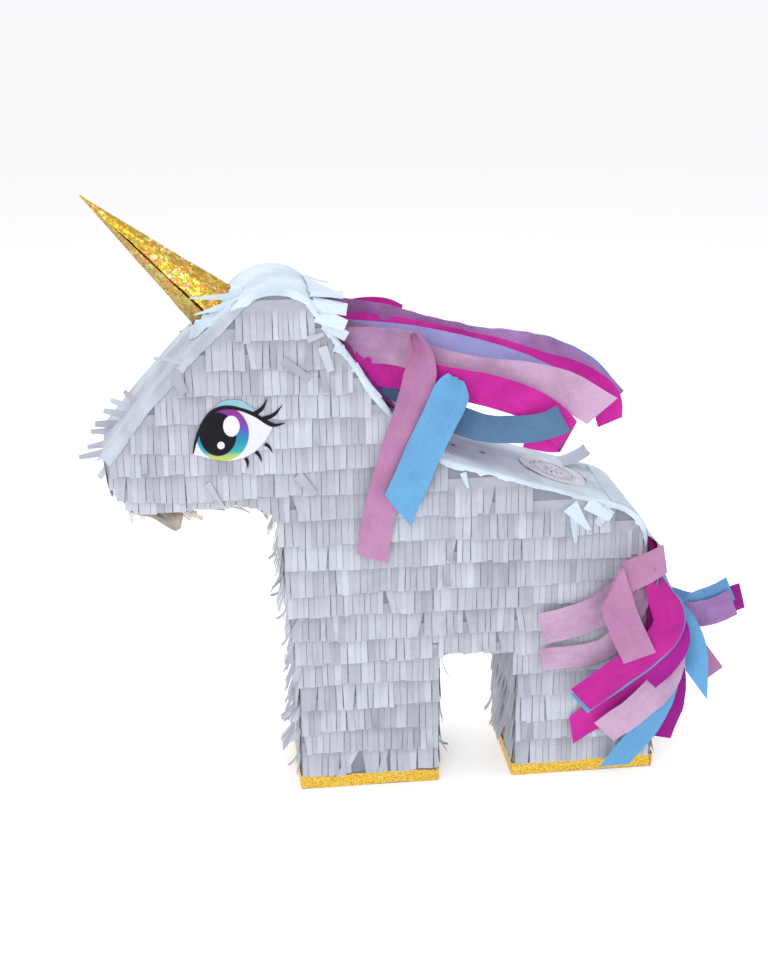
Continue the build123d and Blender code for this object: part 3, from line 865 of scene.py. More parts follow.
wrapped_sheets()
rump_ribs()
root_cover()


# ---------------------------------------------------------------- streamers

RUN_SPACING = 0.0035       # between rows of points along a streamer
CREASE_BULGE = 0.0005      # how far the paper bulges where it is folded


def smooth_path(stations, spacing):
    """Rows between stations on a smooth curve through them; the first three columns are the place."""
    step = np.linalg.norm(np.diff(stations[:, :3], axis=0), axis=1)
    place = np.append(0.0, np.cumsum(step))
    slope = np.diff(stations, axis=0) / step[:, None]
    between = (slope[:-1] * step[1:, None] + slope[1:] * step[:-1, None]) / (step[:-1] + step[1:])[:, None]
    tangent = np.vstack([slope[:1], between, slope[-1:]])
    at = np.linspace(0, place[-1], max(4, round(place[-1] / spacing) + 1))
    k = np.clip(np.searchsorted(place, at, "right") - 1, 0, len(step) - 1)
    h, u = step[k][:, None], ((at - place[k]) / step[k])[:, None]
    return ((2 * u ** 3 - 3 * u ** 2 + 1) * stations[k] + (u ** 3 - 2 * u ** 2 + u) * h * tangent[k]
            + (-2 * u ** 3 + 3 * u ** 2) * stations[k + 1] + (u ** 3 - u ** 2) * h * tangent[k + 1])


class Run:
    """One smooth stretch of a streamer: its middle line, its direction, and the way its width lies."""

    def __init__(self, stations):
        rows = smooth_path(np.asarray(stations, float) * np.array([MM, MM, MM, math.pi / 180]), RUN_SPACING)
        self.middle = rows[:, :3]
        self.way = unit(np.gradient(self.middle, axis=0))
        aside = np.array([0.0, -1.0, 0.0])
        a = unit(aside - self.way * (self.way @ aside)[:, None])
        b = np.cross(a, self.way)
        roll = rows[:, 3:4]
        self.face = np.cos(roll) * a + np.sin(roll) * b
        self.width = np.cross(self.face, self.way)
        self.s = line_distances(self.middle)
        self.skew = np.zeros(len(rows))

    def flip(self):
        self.width, self.face = -self.width, -self.face

    def shear(self, amount, half, at_end):
        """Slants the rows near one end, to this much way per half width."""
        reach = max(1.35 * half * abs(amount), 1e-6)
        away = self.s[-1] - self.s if at_end else self.s
        self.skew += amount * np.clip(1 - away / reach, 0, 1)


def folded_runs(runs, width, cuts):
    """The runs of a streamer, slanted to meet at their creases and to end in slanted cuts."""
    half = width * MM / 2
    stretch = [Run(stations) for stations in runs]
    for one, two in zip(stretch, stretch[1:]):
        before, after = one.way[-1], two.way[0]
        crease = unit(before + after)
        if crease @ one.width[-1] < 0:
            crease = -crease
        if crease @ two.width[0] < 0:
            two.flip()
        one.shear((crease @ before) / max(crease @ one.width[-1], 0.2), half, True)
        two.shear((crease @ after) / max(crease @ two.width[0], 0.2), half, False)
    stretch[0].shear(cuts[0] / width * 2, half, False)
    stretch[-1].shear(cuts[1] / width * 2, half, True)
    return stretch


def streamer(name, runs, material, width, seed, rests, node=None, body=None, crinkle=0.5, curl=0.0,
             cuts=(0.0, 0.0), shade=(0.3, 0.5), swing=None, pinch=None):
    """A tissue streamer. A run is stations (x, y, z, roll) in mm and degrees; between runs it is folded.

    Roll 0 shows its flat to the side, and 90 shows it upward. cuts slant its two ends, in mm. shade is the
    painted shade at its two ends, from its plain colour at 0 towards its deep colour at 1.
    pinch is how narrow it is gathered at its start, and over what length in mm. It rides on
    body, if one is given; when swing is given its place is baked into its mesh, and nothing bends it.
    """
    rng = np.random.default_rng(SEED * 1000 + seed)
    half = width * MM / 2
    stretch = folded_runs(runs if isinstance(runs[0], list) else [runs], width, cuts)
    across = np.linspace(-1, 1, 7)
    rows, distance, travelled = [], [], 0.0
    wave = ripples(rng, 0.06, 0.009, 8)
    flutter = ripples(rng, 0.10, 0.03, 4)
    crumple = ripples(rng, 0.026, 0.012, 7)
    for run in stretch:
        s = (run.s + travelled)[:, None]
        ends = np.minimum(run.s / 0.030 + 0.10, (run.s[-1] - run.s) / 0.012 + 0.15)
        ends = np.minimum(1.0, ends)[:, None]
        lift = 1.5 * crinkle * MM * wave(s, across[None, :] * half) * ends
        lift = lift + 0.55 * crinkle * MM * crumple(s, across[None, :] * half) * ends
        lift = lift + curl * MM * (1 - across[None, :] ** 2) + 1.6 * crinkle * MM * flutter(s, 0.0) * ends
        share = np.ones(len(s))
        if pinch:
            share = pinch[0] + (1 - pinch[0]) * np.clip(s[:, 0] / (pinch[1] * MM), 0, 1) ** 0.6
            lift = lift + (1 - share)[:, None] * 0.35 * half * np.cos(across * 2.4 * math.pi)[None, :]
        row = run.middle[:, None] + share[:, None, None] * half * across[None, :, None] * (
            run.width[:, None] + run.way[:, None] * run.skew[:, None, None])
        rows.append(row + run.face[:, None] * lift[..., None])
        distance.append(run.s + travelled)
        travelled += float(run.s[-1])
    points, along = rows[0], distance[0]
    for one, two, row, gone in zip(stretch, stretch[1:], rows[1:], distance[1:]):
        crease = (points[-1] + row[0]) / 2 + unit(one.way[-1] - two.way[0]) * CREASE_BULGE
        points = np.concatenate([points[:-1], crease[None], row[1:]])
        along = np.concatenate([along[:-1], gone])
    along = along[:, None]
    # Painted shade along the streamer, from one end's shade to the other's, with a random wave in it.
    tone = shade[0] + (shade[1] - shade[0]) * (along / along[-1])
    tone = tone + 0.12 * wave(along * 0.6, across[None, :] * half)
    piece = mesh_piece(name, points, grid_faces(*points.shape[:2]), material, body,
                       CREPE, np.clip(tone, 0, 1), stacked((across + 1) * half, along))
    if swing:
        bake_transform(piece)
    declare(node)


MAGENTA = crepe("magenta_crepe", (0.88, 0.035, 0.52), (0.42, 0.010, 0.27))
PURPLE_MAGENTA = crepe("purple_magenta_crepe", (0.62, 0.016, 0.46), (0.30, 0.012, 0.26))
TIE_MAGENTA = crepe("tie_crepe", (0.40, 0.008, 0.21), (0.20, 0.004, 0.13))
PALE_PINK = crepe("pale_pink_crepe", (0.86, 0.60, 0.83), (0.46, 0.22, 0.44))
PINK = crepe("pink_crepe", (0.74, 0.38, 0.64), (0.54, 0.20, 0.42))
LILAC = crepe("lilac_crepe", (0.64, 0.40, 0.80), (0.32, 0.09, 0.31))
LAVENDER = crepe("lavender_crepe", (0.52, 0.50, 0.90), (0.36, 0.38, 0.76))
BLUE = crepe("blue_crepe", (0.22, 0.60, 0.94), (0.19, 0.40, 0.74))
# Painted shade: a darker copy of the blue crepe, for the mane's blue loop, which hangs in shade.
BLUE_IN_PAINTED_SHADE = crepe("blue_crepe_in_painted_shade", (0.16, 0.32, 0.52), (0.11, 0.20, 0.37))


# ---------------------------------------------------------------- mane

def mane():
    """The mane's streamers, from the far side to the near side."""
    seeds = iter(range(1, 12))

    def strand(name, runs, material, node=None, width=27.0, **more):
        streamer(name, runs, material, width, next(seeds), ["mane_root"], node, "mane", **more)

    strand("mane_far_pink", [(-80, 24, 402, -20), (-24, 25, 390, -35), (30, 26, 373, -30),
                             (84, 27, 353, -10), (130, 28, 333, 0)], PALE_PINK, "mane_far_side")
    strand("mane_far_magenta", [(-66, 40, 384, 0), (-8, 42, 365, -10), (44, 42, 346, -5), (86, 41, 328, 0)],
           MAGENTA, "mane_far_side")
    strand("mane_blue_streamer", [(-80, 8, 410, 20), (-15, 8, 401, 45), (44, 8, 392, 50), (100, 8, 382, 35),
                                  (136, 7, 363, 15), (158, 5, 339, 5)], BLUE, "mane_blue")
    strand("mane_magenta_tip", [(-84, 14, 414, 10), (-58, 16, 421, 12), (-34, 17, 419, 20),
                                (-24, 17, 415, 40)], MAGENTA, width=20.0)
    strand("mane_lilac_streamer", [(-92, -4, 425, 15), (-66, -5, 421, 20), (-33, -7, 415, 32),
                                   (-5, -8, 407, 38), (38, -7, 397, 42), (88, -6, 388, 42),
                                   (120, -6, 374, 32), (142, -6, 356, 20), (158, -8, 339, 10)],
           LILAC, "mane_lilac", shade=(1.2, 0.2))
    strand("mane_magenta_streamer", [(-84, -14, 414, 30), (-45, -14, 411, 35), (-10, -14, 404.5, 35),
                                     (37, -14, 391.5, 35), (90, -17, 376, 32), (128, -21, 362, 18),
                                     (147, -23, 346, 8), (152, -24, 326, 25)],
           MAGENTA, "mane_magenta", shade=(0.5, 0.1))
    strand("mane_lavender", [(-80, -23, 410, 15), (-22, -23, 403, 20), (4, -23.5, 397.5, 20),
                             (35, -24, 389.5, 20), (70, -25, 377, 20), (100, -27, 363, 12),
                             (134, -28, 345, 5)], LAVENDER, width=26.0)
    strand("mane_pale_pink_streamer", [(-84, -30, 408, 25), (-45, -32, 400, 14), (-8, -34, 385, 8),
                                       (20, -34, 377, 12), (38, -34, 373, 12), (70, -35, 369.5, 4),
                                       (105, -35, 361, 0), (141, -36, 340, 0)],
           PALE_PINK, "mane_pale_pink", 32.0, shade=(1.0, 0.0), cuts=(0.0, 5.0))
    strand("mane_pink_inner", [(-82, -38, 406, -8), (-52, -42, 405, 0), (-32, -45, 403, 4),
                               (-19, -45, 399, 12)], PALE_PINK, width=30.0, shade=(1.2, 0.5))
    strand("mane_blue_loop_streamer", [(-58, -34, 384, 10), (-30, -36, 366, 4), (-6, -37, 350, 0),
                                       (22, -39, 336, -4), (51, -45, 330, -4), (76, -49, 331, -2),
                                       (94, -51, 335, 2), (104, -52, 340, 8)],
           BLUE_IN_PAINTED_SHADE, "mane_blue_loop", 25.0, curl=1.5)
    strand("mane_magenta_loop_streamer", [[(-70, -41, 388, 8), (-30, -43, 381, 0), (5, -44, 373, -4),
                                           (46, -45, 363, 4), (78, -44, 350, 8), (98, -43, 336, 4),
                                           (111, -42, 321, 0)],
                                          [(111, -41.5, 320, 0), (95, -40.5, 321, 0), (76, -40, 325, 6)]],
           MAGENTA, "mane_magenta_loop", shade=(0.5, 0.0))


def mane_root():
    """The glued ends of the streamers, in a crumpled strip along the nape."""
    rng = np.random.default_rng(SEED + 60)
    half = high("mane_root").y - 0.001
    first, last, count = 0.007, 0.118, 40
    s = np.linspace(first, last, count)[:, None]
    y = np.linspace(-half, half, count)[None, :]
    height = 0.0030 + 0.0012 * ripples(rng, 0.03, 0.005, 9)(s, y)
    height = height * np.where(np.abs(y) > half - 0.003, 0.75, 1.0)
    piece = mesh_piece("mane_root_strip", NAPE.place(y, s, height), grid_faces(count, count), PURPLE_MAGENTA,
                       "mane", 0.0008, np.full(count * count, 0.8), stacked(y + half, s))
    declare("mane_root")


NEAR_PINK = [(-24, -54, 417, 24), (-17, -56.5, 397, 8), (-19, -57, 376, 2), (-24, -57, 357, 0),
             (-37, -57, 318, 0), (-46, -57, 286, 2), (-53, -57, 253, 0), (-57, -57, 224, 0)]
NEAR_BLUE = [(12, -54, 379, 24), (8, -59.5, 369, 2), (-5, -61.5, 340, 0), (-20, -61.8, 306, 0),
             (-36, -61, 268, 0)]
FAR_PINK = [(-16, 54, 401, -20), (-13, 56, 386, -6), (-18, 57, 348, 0), (-26, 57, 303, 0), (-34, 57, 262, 0)]
FAR_BLUE = [(11, 54, 372, -20), (8, 59, 362, -4), (6, 60, 338, 0), (0, 60.5, 298, 0), (-14, 60, 252, 0)]


def locks():
    """Streamers folded over the mane's edges, hanging beside the neck."""
    for side, word, pink, blue in ((-1, "near", NEAR_PINK, NEAR_BLUE), (1, "far", FAR_PINK, FAR_BLUE)):
        swing = ("mane", f"{word}_locks", (-0.010, side * 0.050, 0.409), (-0.010, side * 0.050, 0.372))
        streamer(f"{word}_pink_streamer", pink, PINK, 27.5, 20 + side, ["mane_root"], f"{word}_pink_lock",
                 curl=0.6, cuts=(0.0, 3.0), shade=(0.9, 0.05), swing=swing, pinch=(0.22, 34.0))
        streamer(f"{word}_blue_streamer", blue, BLUE, 31.0, 23 + side, ["mane_root"], f"{word}_blue_lock",
                 curl=0.5, cuts=(0.0, 9.0), shade=(0.3, 0.1), swing=swing, pinch=(0.6, 12.0))


# ---------------------------------------------------------------- tail

def tail():
    """The tail's streamers, from the ones against the body to the outermost."""
    seeds = iter(range(30, 48))

    def strand(name, runs, material, node, width=26.0, **more):
        streamer(name, runs, material, width, next(seeds), ["tail_tie"], node, "tail", **more)

    strand("tail_magenta_low", [(190, -44, 214, 80), (195, -45, 186, 62), (198, -53, 160, 20),
                                (192, -56, 125, 0), (160, -56.5, 72, 0), (123, -56, 46, 0)],
           MAGENTA, "tail_magenta_short", cuts=(0, 6), crinkle=0.35, shade=(0.7, 0.2))
    strand("tail_pink_left", [(190, -53, 213, 55), (174, -57, 192, 10), (143, -57.5, 165, 0),
                              (92, -57, 149, 0)],
           PALE_PINK, "tail_pink", 31.0, crinkle=0.35, shade=(0.2, 0.3))
    strand("tail_pink_narrow", [(190, -55, 210, 55), (174, -56.5, 160, 0), (150, -57, 128, 0),
                                (93, -56.5, 119, 0)],
           PALE_PINK, "tail_pink", 22.0, crinkle=0.3, shade=(0.1, 0.2), pinch=(0.5, 110.0))
    strand("tail_blue_low", [(191.5, -43, 214, 80), (199, -44, 180, 62), (206, -54, 150, 20),
                             (209, -58, 120, 0), (203, -59, 72, 0), (164, -59.5, 9, 0)],
           BLUE, "tail_blue", 23.0, crinkle=0.4, shade=(0.7, 0.1), cuts=(0, -8))
    strand("tail_pale_low", [(193, -42, 213, 80), (202, -43.5, 178, 62), (208, -56, 142, 15),
                             (206, -61, 98, 0), (152, -61.5, 45, 0)],
           PALE_PINK, "tail_pale", 28.5, crinkle=0.4, shade=(0.6, 0.0))
    strand("tail_magenta_middle", [(194.5, -42, 212, 80), (204.5, -43, 176, 60), (210, -58, 148, 15),
                                   (212, -62, 133, 0), (204, -63, 115, 0), (187, -62.8, 97, 0)],
           PURPLE_MAGENTA, "tail_magenta_short", crinkle=0.25, shade=(0.6, 0.1))
    strand("tail_blue_edge", [(196, -44, 209, 80), (200, -45, 188, 60), (202, -52, 174, 35),
                              (206, -63.5, 158, 5), (203, -66.5, 146, 0), (188, -67, 126, 0),
                              (161, -66, 104, 0), (127, -63.5, 77, 0)], BLUE, "tail_blue", crinkle=0.25)
    strand("tail_magenta_wide_streamer", [(192, -57, 209, 65), (191, -54, 192, 52), (197, -62, 174, 26),
                                          (202, -68.5, 159, 5), (199, -71.5, 148, 0), (184, -71.5, 130, 0),
                                          (157, -70.5, 108.5, 0), (127, -67, 83, 0)],
           MAGENTA, "tail_magenta_wide", 29.0, crinkle=0.3, curl=1.2, shade=(0.5, 0.45))
    strand("tail_pink_fold", [[(196, -64, 214, 10), (183, -69, 210, 4), (165, -72, 203, 0),
                               (147, -73, 195, 0)],
                              [(147, -75, 194, 0), (158, -76, 163, 0), (176, -75, 125, 0)]],
           PINK, "tail_pink", 29.5, crinkle=0.4, shade=(0.2, 0.3), cuts=(0, -2))
    strand("tail_blue_loop_streamer", [(193, -36, 209, 84), (200, -37, 180, 76), (212, -40, 158, 45),
                                       (225, -42, 141, 5), (235, -44, 121, -15), (239, -45, 99, -8),
                                       (240, -46, 79, 0)],
           BLUE, "tail_blue_loop", 21.0, curl=1.2, cuts=(0, 16), shade=(0.9, 0.0))
    strand("tail_magenta_right", [(190.5, -28, 209, 86), (197, -30, 174, 78), (210, -38, 130, 30),
                                  (222, -40, 72, 0), (211, -40, 24, 0)],
           PURPLE_MAGENTA, "tail_magenta_short", 23.0, shade=(0.6, 0.3))
    strand("tail_pink_right", [(191.7, -24, 209, 86), (199, -26, 174, 78), (215, -30, 140, 30),
                               (241, -30, 107, 0), (261, -30, 80, 0)], PINK, "tail_pale", 23.0)
    strand("tail_lilac_right", [(194.2, -20, 208, 86), (202, -21, 179, 80), (213, -24, 154, 50),
                                (232, -24, 139, 0), (254, -24, 140, 0), (277, -23, 149, 0)],
           LILAC, "tail_pale", 27.0, shade=(0.0, 0.4))
    strand("tail_blue_right", [(193, -15, 208, 86), (200.7, -16, 180, 81), (214, -20, 157, 50),
                               (232, -21, 148, 0), (252, -20, 151, 0), (275, -19, 161, 0)],
           BLUE, "tail_blue", 25.0, shade=(0.6, 0.6))
    strand("tail_magenta_tip", [(195.5, -6, 208, 86), (204, -7, 178, 81), (219, -10, 150, 40),
                                (250, -10, 140, 0), (277, -9, 144, 0), (291, -8, 148, 0)],
           PURPLE_MAGENTA, "tail_magenta_short")
    strand("tail_far_pink", [(191, 50, 212, 80), (181, 58, 190, 30), (164, 62, 160, 0), (149, 64, 110, 0)],
           PALE_PINK, "tail_far_side")
    strand("tail_far_blue", [(192, 47, 210, 80), (196, 55, 178, 45), (188, 59, 130, 0), (151, 59, 84, 0)],
           BLUE, "tail_far_side")
    strand("tail_far_magenta", [(195, 28, 208, 86), (205, 30, 170, 70), (221, 31, 132, 15),
                                (219, 31, 60, 0)], MAGENTA, "tail_far_side")


mane_root()
mane()
locks()
tail()


# ---------------------------------------------------------------- loose tissue

def loose_fingers(name, rng, fingers, material, node=None, body="shell",
                  thick=TISSUE):
    """Strips of tissue that stand away, in one piece.

    Each finger is (base, direction, facing, length, width at its base, width at its tip, curl),
    in mm and radians; it curls towards its facing.
    """
    points, faces, shades, area = [], [], [], 0.0
    steps = 9
    t = np.linspace(0, 1, steps + 1)[:, None]
    for base, way, facing, length, wide, narrow, curl in fingers:
        way = unit(np.asarray(way, float))
        facing = np.asarray(facing, float)
        facing = unit(facing - way * (facing @ way))
        aside = np.cross(facing, way)
        angle = curl * ((t[1:] + t[:-1]) / 2) ** 1.3 + rng.normal(0, 0.05, (steps, 1))
        move = (np.cos(angle) * way + np.sin(angle) * facing) * (length * MM / steps)
        line = np.asarray(base, float) * MM + np.vstack([np.zeros((1, 3)), np.cumsum(move, axis=0)])
        half = (wide + (narrow - wide) * t) * MM / 2
        roll = rng.normal(0, 0.25) * t
        width = np.cos(roll) * aside + np.sin(roll) * facing
        camber = rng.uniform(-0.05, 0.05) * (wide + narrow) * MM * facing
        rows = np.stack([line - half * width, line + camber, line + half * width], 1)
        faces += grid_faces(steps + 1, 3, len(points) * (steps + 1) * 3)
        points.append(rows.reshape(-1, 3))
        shades.append(np.full((steps + 1) * 3, np.clip(rng.normal(0.55, 0.2), 0, 1)))
        area += length * (wide + narrow) / 2 * MM * MM
    points, shades = np.concatenate(points), np.concatenate(shades)
    piece = mesh_piece(name, points, faces, material, body, thick, shades)
    least = 0.0101             # the least the sides here are taken to be
    across = max(sum(max(wide, narrow) for *_, wide, narrow, _ in fingers) * MM, least)
    long = max(max(length for *_, length, _, _, _ in fingers) * MM, least)
    area = float(np.clip(area, 0.32 * across * long, across * long))
    declare(node)
    return piece


# Whiskers, in mm from the top of the muzzle: where each leaves the body and where it ends, as
# (along, up), and its y.
WHISKERS = [((28, 30), (17, 41), -10), ((23, 25), (6, 34), -8), ((18, 18), (-1, 24), -4),
            ((12, 10), (-9, 12), 0), ((9, 3), (-13, 5), 2), ((6, -4), (-16, -7), -6),
            ((5, -9), (-23, -14), -14), ((6, -14), (-9, -29), -24)]


def whiskers():
    """Tissue fingers that stand out round the top of the muzzle."""
    rng = np.random.default_rng(SEED + 70)
    nose = OUTLINE[NOSE_TOP] / MM
    fingers = []
    for start, end, y in WHISKERS:
        base = (nose[0] + start[0], y, nose[1] + start[1])
        way = (end[0] - start[0], rng.normal(0, 2), end[1] - start[1])
        length = math.hypot(way[0], way[2])
        facing = (rng.normal(0, 0.35), -1.0, rng.normal(0.3, 0.35))
        fingers.append((base, way, facing, length, 7.5, rng.uniform(3.4, 5.0), rng.normal(0, 0.2)))
    loose_fingers("whiskers", rng, fingers, FRINGE_SHADED_WHITE,
                  "muzzle_whiskers")


def chin():
    """The loose flap of tissue under the muzzle, and the torn fingers beside it."""
    rng = np.random.default_rng(SEED + 71)
    first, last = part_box("chin_flap")
    jaw = low("jaw_strip").z
    columns, rows = 14, 30
    u = np.linspace(0, 1, rows)[:, None]
    v = np.linspace(0, 1, columns)[None, :]
    x = first.x - 0.009 + (last.x - first.x - 0.004) * u
    sag = np.interp(u, [0, 0.12, 0.35, 0.6, 0.8, 0.9, 1.0],
                    [0.001, 0.0035, 0.008, 0.0150, 0.0205, 0.0185, 0.002])
    wave = ripples(rng, 0.03, 0.006, 7)
    y = first.y + (last.y - first.y) * v + 0.002 * wave(x, 0.0) * (1 - v)
    z = jaw + 0.0015 - sag * (1 - 0.6 * v ** 2) + 0.0006 * wave(x, y)
    flap = mesh_piece("chin_flap_sheet", stacked(x, y, z), grid_faces(rows, columns), SHADED_TISSUE, "shell",
                      tint=0.5 + 0.3 * wave(x, y), uv=stacked(x, y))
    declare("chin_flap")
    start, end, foot = first.x / MM, last.x / MM, jaw / MM
    fingers = [((end - 14 - 12, -46, foot + 3), (0.90, -0.1, -0.44), (0.3, -0.5, 0.8), 30, 5.5, 5.0, 0.10),
               ((start - 8, -46, foot + 6), (-0.10, -0.1, -1), (0.6, -0.8, 0), 17, 9, 2, 0.2),
               ((start - 2, -46, foot + 4), (0.20, -0.1, -1), (0.3, -0.8, 0), 13, 9, 3, 0.1)]
    loose_fingers("chin_fingers", rng, fingers, SHADED_TISSUE)


FACE_MM = FACE / MM
CROWN_FLAPS = [((-104, -33, 446.5), (0.93, -0.1, 0.02), (-0.1, 0, 1), 27, 17, 16, -0.1),
               ((-104, -18, 447), (0.90, 0.0, -0.30), (0.2, 0, 1), 27, 16, 13, 0.1),
               ((-104, 2, 447), (0.90, 0.0, -0.40), (0.2, 0, 1), 26, 18, 15, 0.1),
               ((-104, 22, 447), (0.90, 0.0, -0.42), (0.2, 0, 1), 25, 17, 14, -0.1),
               ((-104, 40, 446), (0.90, 0.1, -0.40), (0.2, 0, 1), 22, 15, 12, 0.1),
               ((-103, -45, 441), (0.93, -0.15, -0.10), (-0.1, -0.7, 0.8), 28, 14, 13, -0.15),
               ((-100, -50, 434), (0.88, -0.15, -0.36), (0, -1, 0.4), 25, 13, 10, 0.1),
               ((-94, -51, 427), (0.85, -0.1, -0.55), (0, -1, 0.4), 21, 11, 8, 0.15)]
FOREHEAD_FINGERS = [((-208, -49, 398), (-0.93, -0.1, 0.33), (0.3, -0.4, 0.9), 22, 7, 6, -0.35),
                    ((-214, 20, 396), (-0.9, 0.1, 0.3), (0.3, 0.2, 0.9), 14, 6, 4, 0.4)]
HORN_SLIVERS = [((-158, -31, 446), (-1, 0.10, -0.05), (0.2, -1, 0.4), 42, 7.5, 0.8, 0.06),
                ((-160, -34, 442), (-1, 0.14, -0.30), (0.2, -1, 0.4), 38, 8.5, 0.8, 0.05),
                ((-165, -38, 437), (-1, 0.12, -0.60), (0.2, -1, 0.4), 33, 10, 1.2, 0.05),
                ((-172, -41, 429), (-0.9, 0.1, -0.75), (0.2, -1, 0.4), 27, 10, 2.0, 0.04)]
BACK_EDGE_TEARS = [((113, -FACE_MM - 2.4, 262), (0.55, -0.2, -0.75), (0.3, -1, 0), 27, 15, 3, 0.35),
                   ((128, -FACE_MM - 2.2, 264), (0.75, -0.25, -0.5), (0, -1, 0.3), 24, 13, 6, 0.3),
                   ((116, -FACE_MM - 2.4, 252), (0.10, -0.15, -1), (0, -1, 0), 23, 6, 5, 0.12),
                   ((148, -FACE_MM - 2.2, 258), (-0.6, -0.2, -0.6), (0, -1, 0), 18, 12, 7, 0.3),
                   ((20, -FACE_MM - 2.2, 296), (0.3, -0.2, -0.95), (0, -1, 0), 14, 6, 2, 0.4)]
FAR_BACK_FLAP = [((122, 34, 271), (0.95, 0.05, 0.10), (-0.2, 0, 1), 30, 26, 22, 0.62)]
HEAD_STRAYS = [((-96, -FACE_MM - 2.5, 408), (0.3, -0.15, -0.9), (0, -1, 0), 21, 8, 6, 0.5),
               ((-128, -FACE_MM - 2.5, 398), (0.75, -0.1, -0.55), (0, -1, 0), 26, 7, 6, 0.05),
               ((-108, -FACE_MM - 2.5, 414), (0.85, -0.15, 0.3), (0, -1, 0.3), 15, 6, 3, 0.5),
               ((-214, -FACE_MM - 2.3, 392), (0.35, -0.1, -0.9), (0, -1, 0), 20, 9, 7, 0.2),
               ((-192, -FACE_MM - 2.5, 296), (0.5, -0.1, -0.8), (0, -1, 0), 24, 6, 2, 0.1),
               ((-118, -FACE_MM - 2.5, 300), (0.6, -0.1, -0.7), (0, -1, 0), 22, 9, 5, 0.1)]
CHEST_STRAYS = [((-113, -FACE_MM - 0.5, 176), (-0.55, -0.2, -0.85), (0.3, -1, 0), 22, 6, 4, -0.15),
                ((-119, -FACE_MM + 3, 232), (-0.30, -0.1, -0.95), (0.2, -1, 0), 30, 5.5, 5, 0.05),
                ((-116, -FACE_MM + 1, 132), (-0.42, -0.2, -0.90), (0.3, -1, 0), 23, 6.5, 5, 0.25),
                ((-117, -FACE_MM + 1, 84), (-0.50, -0.2, -0.85), (0.3, -1, 0), 18, 7, 5, -0.3),
                ((-117, -FACE_MM + 1, 60), (-0.85, -0.1, -0.5), (0.2, -1, 0), 15, 6, 4.5, 0.5)]


def torn_flaps():
    """The torn and lifted bits of tissue at the crown, the nape, the forehead and the back."""
    rng = np.random.default_rng(SEED + 72)
    flaps = loose_fingers("crown_flaps", rng, CROWN_FLAPS, SMOOTH_WHITE,
                          body=None)
    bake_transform(flaps)
    nape = []
    for share in np.linspace(0.12, 0.97, 9):
        spot = NAPE.at(share * NAPE.length)[0] / MM
        down = np.array([0.62, -0.12, -0.78]) + rng.normal(0, 0.18, 3)
        nape.append(((spot[0] - 1.5, -FACE_MM - 1.2, spot[1] - 1), down, (0.2, -1, 0.3), rng.uniform(8, 17),
                     rng.uniform(5, 9), rng.uniform(0.8, 4), rng.uniform(-0.1, 0.5)))
    for name, fingers, material, rests in (
            ("nape_tears", nape, SMOOTH_WHITE, ["nape_strip"]),
            ("forehead_fingers", FOREHEAD_FINGERS, FOREHEAD_SHADED_WHITE, ["forehead_strip"]),
            ("horn_slivers", HORN_SLIVERS, SMOOTH_WHITE, ["crown_strip", "forehead_strip"]),
            ("back_edge_tears", BACK_EDGE_TEARS, SMOOTH_WHITE, ["back_strip"]),
            ("far_back_flap", FAR_BACK_FLAP, FOREHEAD_SHADED_WHITE, ["back_strip"]),
            ("head_strays", HEAD_STRAYS, FRINGE_SHADED_WHITE, ["left_side_panel"]),
            ("chest_strays", CHEST_STRAYS, FRINGE_SHADED_WHITE, ["chest_strip"])):
        loose_fingers(name, rng, fingers, material)


# ---------------------------------------------------------------- horn

def gold(name, cell, roughness, rainbow):
    """Gold glitter foil: small flakes that each face their own way, some with rainbow glints that also give
    off a little painted light.
    """
    # The emission strength is for the glints' painted light.
    material, tree, shader = start_material(name, roughness, Metallic=1.0, Emission_Strength=0.28)
    where = coordinates(tree)
    flakes = node(tree, "TexVoronoi", {"Vector": where, "Scale": 1 / cell, "Randomness": 1.0})
    coarse = node(tree, "TexVoronoi", {"Vector": where, "Scale": 0.42 / cell, "Randomness": 1.0})
    split = node(tree, "SeparateColor", {"Color": flakes.outputs["Color"]})
    picked = node(tree, "SeparateColor", {"Color": coarse.outputs["Color"]})
    plain = ramp(tree, split.outputs[0], [(0.0, (0.42, 0.24, 0.012)), (0.45, (0.80, 0.50, 0.05)),
                                          (1.0, (0.97, 0.72, 0.17))])
    glints = ramp(tree, picked.outputs[1], [(0.0, (1.0, 0.35, 0.10)), (0.25, (1.0, 0.75, 0.12)),
                                            (0.45, (0.45, 0.95, 0.22)), (0.6, (1.0, 0.88, 0.45)),
                                            (0.8, (1.0, 0.42, 0.30)), (1.0, (0.42, 0.82, 0.70))], "CONSTANT")
    patches = between(tree, noise(tree, where, 26.0, 2.0), 0.36, 0.56)
    share = maths(tree, "MULTIPLY", maths(tree, "GREATER_THAN", picked.outputs[0], 0.55),
                  maths(tree, "MULTIPLY", patches, rainbow))
    # The tint is painted shade: it darkens the horn's shaded faces and its seam.
    light = maths(tree, "MULTIPLY_ADD", tint(tree), 0.93, 0.07)
    painted_facet_shade = node(tree, "CombineColor", {0: light, 1: light, 2: light}).outputs[0]
    colour = mix(tree, 1.0, mix(tree, share, plain, glints), painted_facet_shade, "MULTIPLY")
    tree.links.new(colour, shader.inputs["Base Color"])
    centred = node(tree, "VectorMath", {0: flakes.outputs["Color"], 1: (0.5, 0.5, 0.5)},
                   operation="SUBTRACT")
    turned = node(tree, "VectorMath", {0: centred.outputs[0], "Scale": 0.50}, operation="SCALE")
    flat = node(tree, "NewGeometry").outputs["Normal"]
    faced = node(tree, "VectorMath", {0: flat, 1: turned.outputs[0]}, operation="ADD")
    way = node(tree, "VectorMath", {0: faced.outputs[0]}, operation="NORMALIZE")
    tree.links.new(way.outputs[0], shader.inputs["Normal"])
    # Painted light: the rainbow glints emit a little light, though the foil is no lamp.
    painted_glow = mix(tree, maths(tree, "MULTIPLY", share, light), (0.0, 0.0, 0.0), glints)
    tree.links.new(painted_glow, shader.inputs["Emission Color"])
    return material


